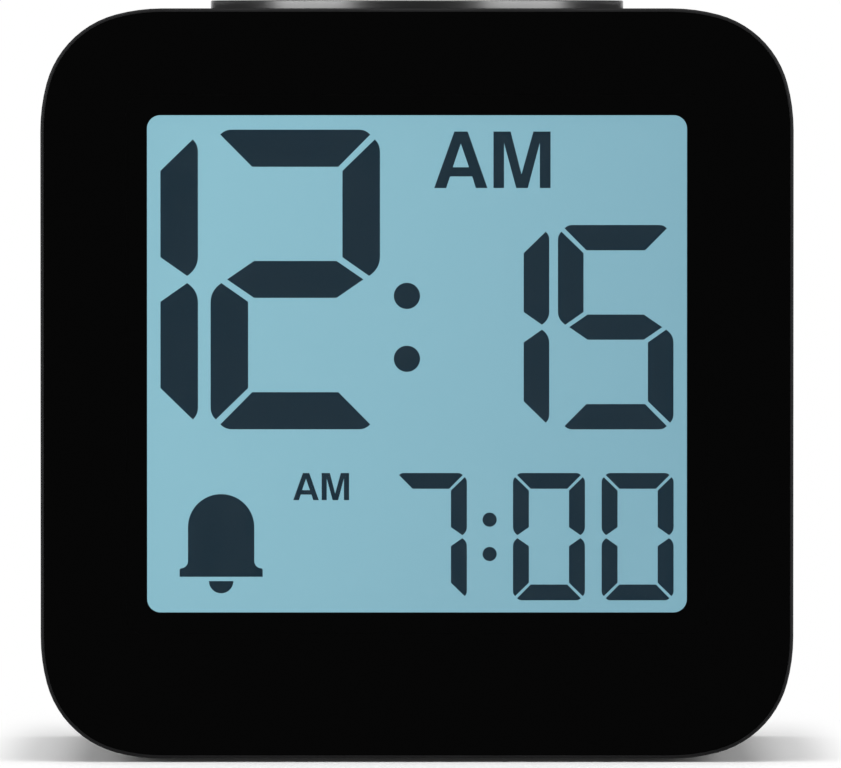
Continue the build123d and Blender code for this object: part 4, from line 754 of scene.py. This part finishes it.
# Operators
class CLOCK_OT_case(bpy.types.Operator):
    """Finish the case, the back panel, its screws and the base pad"""

    bl_idname = "clock.case"
    bl_label = "Case and back"

    def execute(self, context):
        colour = context.scene.clock_finish.case_color
        dress(moulded("satin black case", colour, 0.48, **CASE_GRAIN), "front_housing")
        dress(moulded("spark grain back", colour, 0.55, **BACK_GRAIN), "rear_panel", "battery_door")
        dress(drawn_metal("blackened screw"), "rear_panel_screws")
        dress(moulded("pad rubber", (0.022, 0.022, 0.022), 0.85, **PAD_GRAIN), "base_pad")
        return {"FINISHED"}


class CLOCK_OT_window(bpy.types.Operator):
    """Finish the clear front window and the black print behind it"""

    bl_idname = "clock.window"
    bl_label = "Front window"

    def window_glass(self):
        """Clear over the display and black in the border, which begins one corner radius outside a box that
        stands for the display. The box is a metre deep each way, so that depth has no part in it."""
        material, tree, shader, vector = clear_glass("front window")
        half = (DISPLAY_HALF.x, 1.0, DISPLAY_HALF.z)
        reach = outside_box(tree, vector, tuple(DISPLAY_MIDDLE), half, (1.0, 1.0, 1.0))
        border = maths(tree, "GREATER_THAN", reach, WINDOW_CORNER * MM)
        tint = mixed(tree, border, WINDOW_CLEAR, WINDOW_BORDER)
        feed(tree, shader, {"Base Color": tint})
        return material

    def execute(self, context):
        dress(self.window_glass(), "front_lens")
        dress(moulded("black print", (0.011, 0.011, 0.011), 0.6, drift=0.1, strength=0.1), "lens_mask")
        return {"FINISHED"}


class CLOCK_OT_display(bpy.types.Operator):
    """Light the display and lay its figures, letters and bell on it"""

    bl_idname = "clock.display"
    bl_label = "Display"

    def face(self, settings):
        """The lit face: its light falls off to the right and downwards, and drifts a little."""
        material, tree, shader, vector = blank_material("display face")
        parts = add(tree, "ShaderNodeSeparateXYZ", {0: vector}).outputs
        drift = noise(tree, vector, scale=45.0, detail=2.0)
        start = LIGHT_MIDDLE + LIGHT_DOWN * DISPLAY_MIDDLE.z / DISPLAY_HALF.z
        share = maths(tree, "MULTIPLY_ADD", parts["X"], LIGHT_ACROSS / DISPLAY_HALF.x, start)
        share = maths(tree, "MULTIPLY_ADD", parts["Z"], -LIGHT_DOWN / DISPLAY_HALF.z, share)
        share = maths(tree, "MULTIPLY_ADD", drift, LIGHT_DRIFT, share)
        light = mixed(tree, share, opaque(settings.left_color), opaque(settings.right_color))
        rough = maths(tree, "MULTIPLY_ADD", drift, *FACE_ROUGHNESS)
        feed(tree, shader, {
            "Base Color": DARK_FACE, "Roughness": rough, "Emission Color": light, "Emission Strength": 1.0,
        })
        return material

    def ink(self, settings):
        """The dark figures, which let a little of the light through."""
        glow = {"Emission Color": opaque(settings.ink_color), "Emission Strength": 1.0}
        return moulded("display ink", (0.004, 0.005, 0.006), 0.5, strength=0.05, sockets=glow)

    def execute(self, context):
        settings = context.scene.clock_display
        dress(self.face(settings), "lcd_front_polariser")
        ink = self.ink(settings)
        level = DISPLAY_LOW.y - settings.figure_depth
        letters = [
            (LETTER_POINTS * height + (left, foot), LETTER_FACES)
            for left, foot, height in MORNING_LETTERS
        ]
        drawings = {
            "time_figures": gather(digit_outlines(TIME_DIGITS) + dot_outlines(TIME_DOTS)),
            "alarm_figures": gather(digit_outlines(ALARM_DIGITS) + dot_outlines(ALARM_DOTS)),
            "display_bell": gather(bell_outlines(*DISPLAY_BELL)),
            "morning_letters": joined(letters),
        }
        for name, (points, faces) in drawings.items():
            relief(name, points, faces, level, settings.figure_depth, -1, ink, "case")
        return {"FINISHED"}


class CLOCK_OT_button(bpy.types.Operator):
    """Make the round top button, its springs and its switch dome"""

    bl_idname = "clock.button"
    bl_label = "Top button"

    def execute(self, context):
        button = moulded("satin button", context.scene.clock_finish.button_color, 0.30, **BUTTON_GRAIN)
        places = arc((0.0, 0.0), SPRING_CIRCLE, SPRING_ANGLES[0], SPRING_ANGLES[-1], len(SPRING_ANGLES))
        points, faces = joined([self.cap(), *self.pins(places), *self.catches()])
        cap = new_piece("button_cap", points, faces, button, "top_button")
        shade(cap)
        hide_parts("top_button")
        dress(moulded("bracket plastic", (0.5, 0.5, 0.48), 0.5), "button_bracket")
        low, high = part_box("button_springs")
        wire = SPRING_WIRE_RADIUS * MM
        coils = [closed_rings(coil_rings(place * MM, low.z + wire, high.z - wire)) for place in places]
        self.yielding("button_coils", coils, drawn_metal("spring wire"), "button_springs", "bright_metal")
        dome = closed_rings(turned_rings(DOME_PROFILE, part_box("talk_switch_dome")[0].z))
        rubber = moulded("dome rubber", (0.55, 0.55, 0.53), 0.7)
        self.yielding("rubber_dome", [dome], rubber, "talk_switch_dome", "dome_rubber")
        return {"FINISHED"}

    def cap(self):
        """A turned profile: the actuator, the underside, the skirt, a round rim and a dish. The dish is part
        of a ball of radius (r*r + d*d) / 2d, where r and d are the dish's radius and depth."""
        top = BUTTON_HIGH.z / MM
        underside = top - BUTTON_THICKNESS
        foot = top - SKIRT_DEPTH
        inner = BUTTON_RADIUS - SKIRT_WALL
        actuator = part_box("talk_switch_dome")[1].z / MM
        middle = ACTUATOR_RADIUS
        below = [(middle, actuator), (middle, underside), (inner, underside), (inner, foot)]
        rim = arc((BUTTON_RADIUS - BUTTON_ROUND, top - BUTTON_ROUND), BUTTON_ROUND, 0.0, 90.0)
        ball = (DISH_RADIUS ** 2 + DISH_DEPTH ** 2) / (2 * DISH_DEPTH)
        across = np.linspace(DISH_RADIUS, DISH_RADIUS / ARC_STEPS, ARC_STEPS)
        dish = np.stack((across, top - DISH_DEPTH + ball - np.sqrt(ball ** 2 - across ** 2)), axis=1)
        profile = np.concatenate((below, [(BUTTON_RADIUS, foot)], rim, dish))
        return closed_rings(turned_rings(profile, 0.0, BUTTON_STEPS))

    def pins(self, places):
        """Round guide pins that reach from the button's lowest point up into the cap."""
        low = BUTTON_LOW.z / MM
        high = BUTTON_HIGH.z / MM - BUTTON_THICKNESS / 2
        return [closed_rings(upright_rings(circle(place, PIN_RADIUS), low, high)) for place in places]

    def catches(self):
        """Short blocks with a round outer side, from the middle of the skirt's wall outwards."""
        low = BUTTON_HIGH.z / MM - SKIRT_DEPTH
        root = BUTTON_RADIUS - SKIRT_WALL / 2
        reach = BUTTON_RADIUS + CATCH_REACH
        half = math.degrees(math.asin(CATCH_WIDTH / 2 / reach))
        side = arc((0.0, 0.0), reach, -half, half)
        outline = np.concatenate(([(root, -CATCH_WIDTH / 2)], side, [(root, CATCH_WIDTH / 2)]))
        shapes = []
        for angle in np.radians(CATCH_ANGLES):
            turn = np.array([(math.cos(angle), math.sin(angle)), (-math.sin(angle), math.cos(angle))])
            shapes.append(closed_rings(upright_rings(outline @ turn, low, low + CATCH_HEIGHT)))
        return shapes

    def yielding(self, name, shapes, material, node, slot):
        """One piece made of closed shapes that stands for a node and rides on the case."""
        points, faces = joined(shapes)
        piece = new_piece(name, points, faces, material, "case")
        shade(piece)
        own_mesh(piece)
        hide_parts(node)


class CLOCK_OT_controls(bpy.types.Operator):
    """Finish the rear keys and slides, and print their marks"""

    bl_idname = "clock.controls"
    bl_label = "Keys and slides"

    def execute(self, context):
        finish = context.scene.clock_finish
        key = moulded("satin key", finish.key_color, 0.42, **KEY_GRAIN)
        dress(key, "time_key", "alarm_key", "plus_key", "minus_key", "alarm_knob", "volume_knob")
        ink = moulded("mark print", finish.mark_color, 0.55, drift=0.15)
        depth = finish.mark_depth
        plus, minus = self.signs()
        drawings = {
            "plus_key": gather([plus]),
            "minus_key": gather([minus]),
            "alarm_key": gather(bell_outlines(*KEY_BELL)),
            "time_key": self.clock_sign(),
        }
        for name, (points, faces) in drawings.items():
            low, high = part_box(name)
            middle = (low + high) / 2 / MM
            placed = points + (-middle.x, middle.z)
            mark = name.replace("key", "mark")
            relief(mark, placed, faces, high.y + depth / 2, depth, 1, ink, name)
        for name, points, faces in self.slide_marks():
            relief(name, points, faces, REAR_FACE_Y + depth / 2, depth, 1, ink, "case")
        return {"FINISHED"}

    def signs(self):
        """Outlines of a plus sign, which is one inner corner turned by quarters, and of a minus sign."""
        reach, half = SIGN_REACH, SIGN_HALF_STROKE
        corner = np.array([(-reach, -half), (-half, -half), (-half, -reach)])
        turned = np.stack((-corner[:, 1], corner[:, 0]), axis=1)
        minus = np.array([(-reach, -half), (reach, -half), (reach, half), (-reach, half)])
        return np.concatenate((corner, turned, -corner, -turned)), minus

    def clock_sign(self):
        """A ring of quads between two circles and two straight hands."""
        outer, inner = (circle((0.0, 0.0), radius) for radius in CLOCK_SIGN_RADII)
        steps = len(outer)
        index = np.arange(steps)
        after = (index + 1) % steps
        quads = np.stack((index, after, after + steps, index + steps), axis=1).tolist()
        half = HAND_HALF_WIDTH
        hands = [
            (-half, -half), (HOUR_HAND, -half), (HOUR_HAND, half), (half, half), (half, MINUTE_HAND),
            (-half, MINUTE_HAND),
        ]
        return joined([(np.concatenate((outer, inner)), quads), gather([hands])])

    def slide_place(self, name):
        """Where a slide's marks begin, across and up, and how far its knob goes, in millimetres."""
        low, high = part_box(name + "_knob")
        knob = (low + high) / 2 / MM
        return knob.x, knob.z + SLIDE_MARK_RISE, joint_reach(name + "_switch_slide") / MM

    def slide_marks(self):
        """ON and OFF at the ends of the alarm slide, and a wedge over the volume slide."""
        first, up, reach = self.slide_place("alarm")
        marks = []
        for word, across in (("ON", first - WORD_OVERHANG), ("OFF", first + reach + WORD_OVERHANG)):
            points, faces = word_points(word, WORD_HEIGHT)
            marks.append(("switch_word_" + word.lower(), points + (-across, up), faces))
        first, up, reach = self.slide_place("volume")
        length, height = WEDGE_HALF_LENGTH, WEDGE_HALF_HEIGHT
        points, faces = gather([[(-length, -height), (length, -height), (length, height)]])
        marks.append(("volume_wedge", points + (-first - reach / 2, up), faces))
        return marks


class CLOCK_OT_speaker(bpy.types.Operator):
    """Finish the loudspeaker behind the grille"""

    bl_idname = "clock.speaker"
    bl_label = "Loudspeaker"

    def execute(self, context):
        dress(drawn_metal("pressed steel"), "speaker_basket")
        dress_moulded(SPEAKER_FINISHES)
        return {"FINISHED"}


class CLOCK_OT_power(bpy.types.Operator):
    """Finish the batteries and their contacts"""

    bl_idname = "clock.power"
    bl_label = "Batteries"

    def sleeve(self, name, sign):
        """A printed sleeve along X: a pale band at the positive end, bare metal at both ends."""
        low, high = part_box(name)
        material, tree, shader, vector = blank_material(name.replace("_", " ") + " sleeve")
        across = add(tree, "ShaderNodeSeparateXYZ", {0: vector}).outputs["X"]
        along = maths(tree, "MULTIPLY", across, sign)
        tail, tip = sorted((sign * low.x, sign * high.x))
        band = maths(tree, "GREATER_THAN", along, tip - SLEEVE_BAND * MM)
        nub = maths(tree, "GREATER_THAN", along, tip - SLEEVE_TIP * MM)
        foot = maths(tree, "LESS_THAN", along, tail + SLEEVE_FOOT * MM)
        metal = maths(tree, "MAXIMUM", nub, foot)
        printed = {"Vector": vector, "Color": SLEEVE_COLOR, "Roughness": SLEEVE_ROUGHNESS}
        group = shared("moulded grain", grain_group)
        grain = add(tree, "ShaderNodeGroup", printed, node_tree=group).outputs
        paint = mixed(tree, metal, mixed(tree, band, grain["Color"], BAND_COLOR), CELL_COLOR)
        feed(tree, shader, {"Base Color": paint, "Metallic": metal, "Roughness": grain["Roughness"]})
        return material

    def execute(self, context):
        dress(self.sleeve("upper_battery", 1.0), "upper_battery")
        dress(self.sleeve("lower_battery", -1.0), "lower_battery")
        dress(drawn_metal("contact plate"), "positive_contact", "negative_contact", "bridge_contact")
        dress(drawn_metal("spring wire"), "battery_springs")
        return {"FINISHED"}


class CLOCK_OT_inside(bpy.types.Operator):
    """Finish what is sealed inside: display layers, boards, switches and wiring"""

    bl_idname = "clock.inside"
    bl_label = "Inside"

    def board(self):
        """Green board with lighter tracks, from the edges of a brick pattern."""
        material, tree, shader, vector = blank_material("circuit board")
        upright = (math.radians(90.0), 0.0, 0.0)
        turned = add(tree, "ShaderNodeMapping", {"Vector": vector, "Rotation": upright})
        tracks = add(tree, "ShaderNodeTexBrick", {
            "Vector": turned.outputs[0], "Color1": (0.012, 0.10, 0.035, 1.0),
            "Color2": (0.016, 0.12, 0.042, 1.0), "Mortar": (0.03, 0.20, 0.07, 1.0),
            "Scale": 260.0, "Mortar Size": 0.03,
        })
        feed(tree, shader, {"Base Color": tracks.outputs["Color"], "Roughness": 0.35})
        bump(tree, shader, tracks.outputs["Fac"], *BOARD_TRACKS)
        return material

    def execute(self, context):
        dress(clear_glass("display glass")[0], "lcd_cell")
        dress(clear_glass("light guide")[0], "light_guide")
        dress(self.board(), "main_board", "talk_switch_board", "left_key_board", "right_key_board")
        plated = drawn_metal("plated steel")
        dress(plated, "quartz_crystal", "board_screws", "bracket_screws", "key_board_screws")
        dress_moulded(INSIDE_FINISHES)
        return {"FINISHED"}


class CLOCK_OT_stage(bpy.types.Operator):
    """Make the floor, the lights, the surroundings and the camera"""

    bl_idname = "clock.stage"
    bl_label = "Stage"

    def lights(self, settings):
        """Rectangular soft lights, each turned to its point."""
        for side, (place, aim, size) in SOFTBOXES.items():
            lamp = bpy.data.lights.new(side + " softbox", "AREA")
            lamp.shape = "RECTANGLE"
            lamp.size, lamp.size_y = size
            lamp.energy = getattr(settings, side + "_power")
            holder = new_object(lamp.name, lamp)
            holder.location = place
            holder.rotation_euler = (Vector(aim) - Vector(place)).to_track_quat("-Z", "Y").to_euler()

    def floor(self, settings):
        """A pale sheet that shows the clock's shadow and fades into the white all round. Reflections see the
        part in front of the clock as a dim room."""
        mesh = bpy.data.meshes.new("floor")
        mesh.from_pydata(FLOOR_CORNERS, [], [(0, 1, 2, 3)])
        sheet = new_object("floor", mesh)
        material, tree, shader, vector = blank_material("pale floor")
        mottle = noise(tree, vector, scale=40.0, detail=3.0)
        rough = maths(tree, "MULTIPLY_ADD", mottle, *FLOOR_ROUGHNESS)
        base = opaque(settings.floor_color)
        feed(tree, shader, {"Base Color": base, "Roughness": rough, "Specular IOR Level": 0.0})
        path = add(tree, "ShaderNodeLightPath").outputs
        seen = maths(tree, "MAXIMUM", path["Is Camera Ray"], path["Is Glossy Ray"])
        seen = maths(tree, "MAXIMUM", seen, path["Is Transmission Ray"])
        half = (CAD_BOX[1][0], CAD_BOX[1][1], 0.0)
        reach = outside_box(tree, vector, (0.0, 0.0, 0.0), half, FLOOR_FADE)
        away = add(tree, "ShaderNodeMapRange", {"Value": reach, "To Min": FLOOR_LIFT},
                   interpolation_type="SMOOTHSTEP")
        share = maths(tree, "MULTIPLY", seen, away.outputs[0])
        depth = add(tree, "ShaderNodeSeparateXYZ", {0: vector}).outputs["Y"]
        before = maths(tree, "LESS_THAN", depth, FRONT_Y)
        mirrored = maths(tree, "MULTIPLY", before, path["Is Glossy Ray"])
        surface = shader.outputs[0]
        for factor, level in ((share, 1.0), (mirrored, ROOM_LEVEL)):
            glow = add(tree, "ShaderNodeEmission", {"Color": WHITE, "Strength": level}).outputs[0]
            surface = add(tree, "ShaderNodeMixShader", {0: factor, 1: surface, 2: glow}).outputs[0]
        result = next(node for node in tree.nodes if node.type == "OUTPUT_MATERIAL")
        feed(tree, result, {"Surface": surface})
        mesh.materials.append(material)

    def surroundings(self, settings):
        """White to the camera. Reflections see white only behind the clock, and a dim room elsewhere."""
        world = bpy.data.worlds.new("studio")
        bpy.context.scene.world = world
        world.use_nodes = True
        tree = world.node_tree
        tree.nodes.clear()
        path = add(tree, "ShaderNodeLightPath").outputs
        direction = add(tree, "ShaderNodeTexCoord").outputs["Generated"]
        depth = add(tree, "ShaderNodeSeparateXYZ", {0: direction}).outputs["Y"]
        first, last = BACKDROP_EDGE
        behind = add(tree, "ShaderNodeMapRange", {"Value": depth, "From Min": first, "From Max": last})
        mirrored = maths(tree, "MAXIMUM", path["Is Glossy Ray"], path["Is Transmission Ray"])
        mirrored = maths(tree, "MULTIPLY", mirrored, behind.outputs[0])
        shown = maths(tree, "MAXIMUM", mirrored, path["Is Camera Ray"])
        diffuse = maths(tree, "MULTIPLY", path["Is Diffuse Ray"], settings.fill)
        level = maths(tree, "MAXIMUM", shown, diffuse)
        level = maths(tree, "MAXIMUM", level, ROOM_LEVEL)
        glow = add(tree, "ShaderNodeBackground", {"Color": WHITE, "Strength": level}).outputs[0]
        add(tree, "ShaderNodeOutputWorld", {"Surface": glow})

    def camera(self, settings):
        """A long lens that looks a little down at the middle of the clock's front."""
        data = bpy.data.cameras.new("camera")
        data.sensor_fit = "HORIZONTAL"
        data.sensor_width = SENSOR_WIDTH
        data.lens = SENSOR_WIDTH * settings.camera_distance / settings.view_width
        data.clip_start, data.clip_end = CAMERA_CLIP
        holder = new_object("camera", data)
        elevation = settings.camera_elevation
        away = Vector((0.0, -math.cos(elevation), math.sin(elevation)))
        holder.location = Vector(settings.view_middle) + away * settings.camera_distance
        holder.rotation_euler = (-away).to_track_quat("-Z", "Y").to_euler()
        bpy.context.scene.camera = holder

    def execute(self, context):
        settings = context.scene.clock_stage
        context.scene.view_settings.view_transform = "Standard"
        self.floor(settings)
        self.surroundings(settings)
        self.lights(settings)
        self.camera(settings)
        return {"FINISHED"}


OPERATORS = (
    CLOCK_OT_case, CLOCK_OT_window, CLOCK_OT_display, CLOCK_OT_button, CLOCK_OT_controls,
    CLOCK_OT_speaker, CLOCK_OT_power, CLOCK_OT_inside, CLOCK_OT_stage,
)
SETTINGS = {
    "clock_finish": ClockFinishSettings,
    "clock_display": ClockDisplaySettings,
    "clock_stage": ClockStageSettings,
}


class CLOCK_PT_pieces(bpy.types.Panel):
    """Lists the clock's settings and the operators that dress it"""

    bl_label = "Talking alarm clock"
    bl_space_type = "VIEW_3D"
    bl_region_type = "UI"
    bl_category = "Clock"

    def draw(self, context):
        for operator in OPERATORS:
            self.layout.operator(operator.bl_idname)
        for group in SETTINGS:
            settings = getattr(context.scene, group)
            box = self.layout.box()
            for name in settings.bl_rna.properties.keys():
                if name not in ("rna_type", "name"):
                    box.prop(settings, name)


def register():
    """Registers the settings, the operators and the panel."""
    for name, kind in SETTINGS.items():
        bpy.utils.register_class(kind)
        setattr(bpy.types.Scene, name, PointerProperty(type=kind))
    for kind in (*OPERATORS, CLOCK_PT_pieces):
        bpy.utils.register_class(kind)


def unregister():
    """Takes everything out again, in reverse."""
    for kind in reversed((*OPERATORS, CLOCK_PT_pieces)):
        bpy.utils.unregister_class(kind)
    for name, kind in reversed(SETTINGS.items()):
        delattr(bpy.types.Scene, name)
        bpy.utils.unregister_class(kind)


def main():
    """Dresses the clock piece by piece."""
    register()
    bpy.ops.clock.case()
    bpy.ops.clock.window()
    bpy.ops.clock.display()
    bpy.ops.clock.button()
    bpy.ops.clock.controls()
    bpy.ops.clock.speaker()
    bpy.ops.clock.power()
    bpy.ops.clock.inside()
    bpy.ops.clock.stage()


if __name__ == "__main__":
    main()
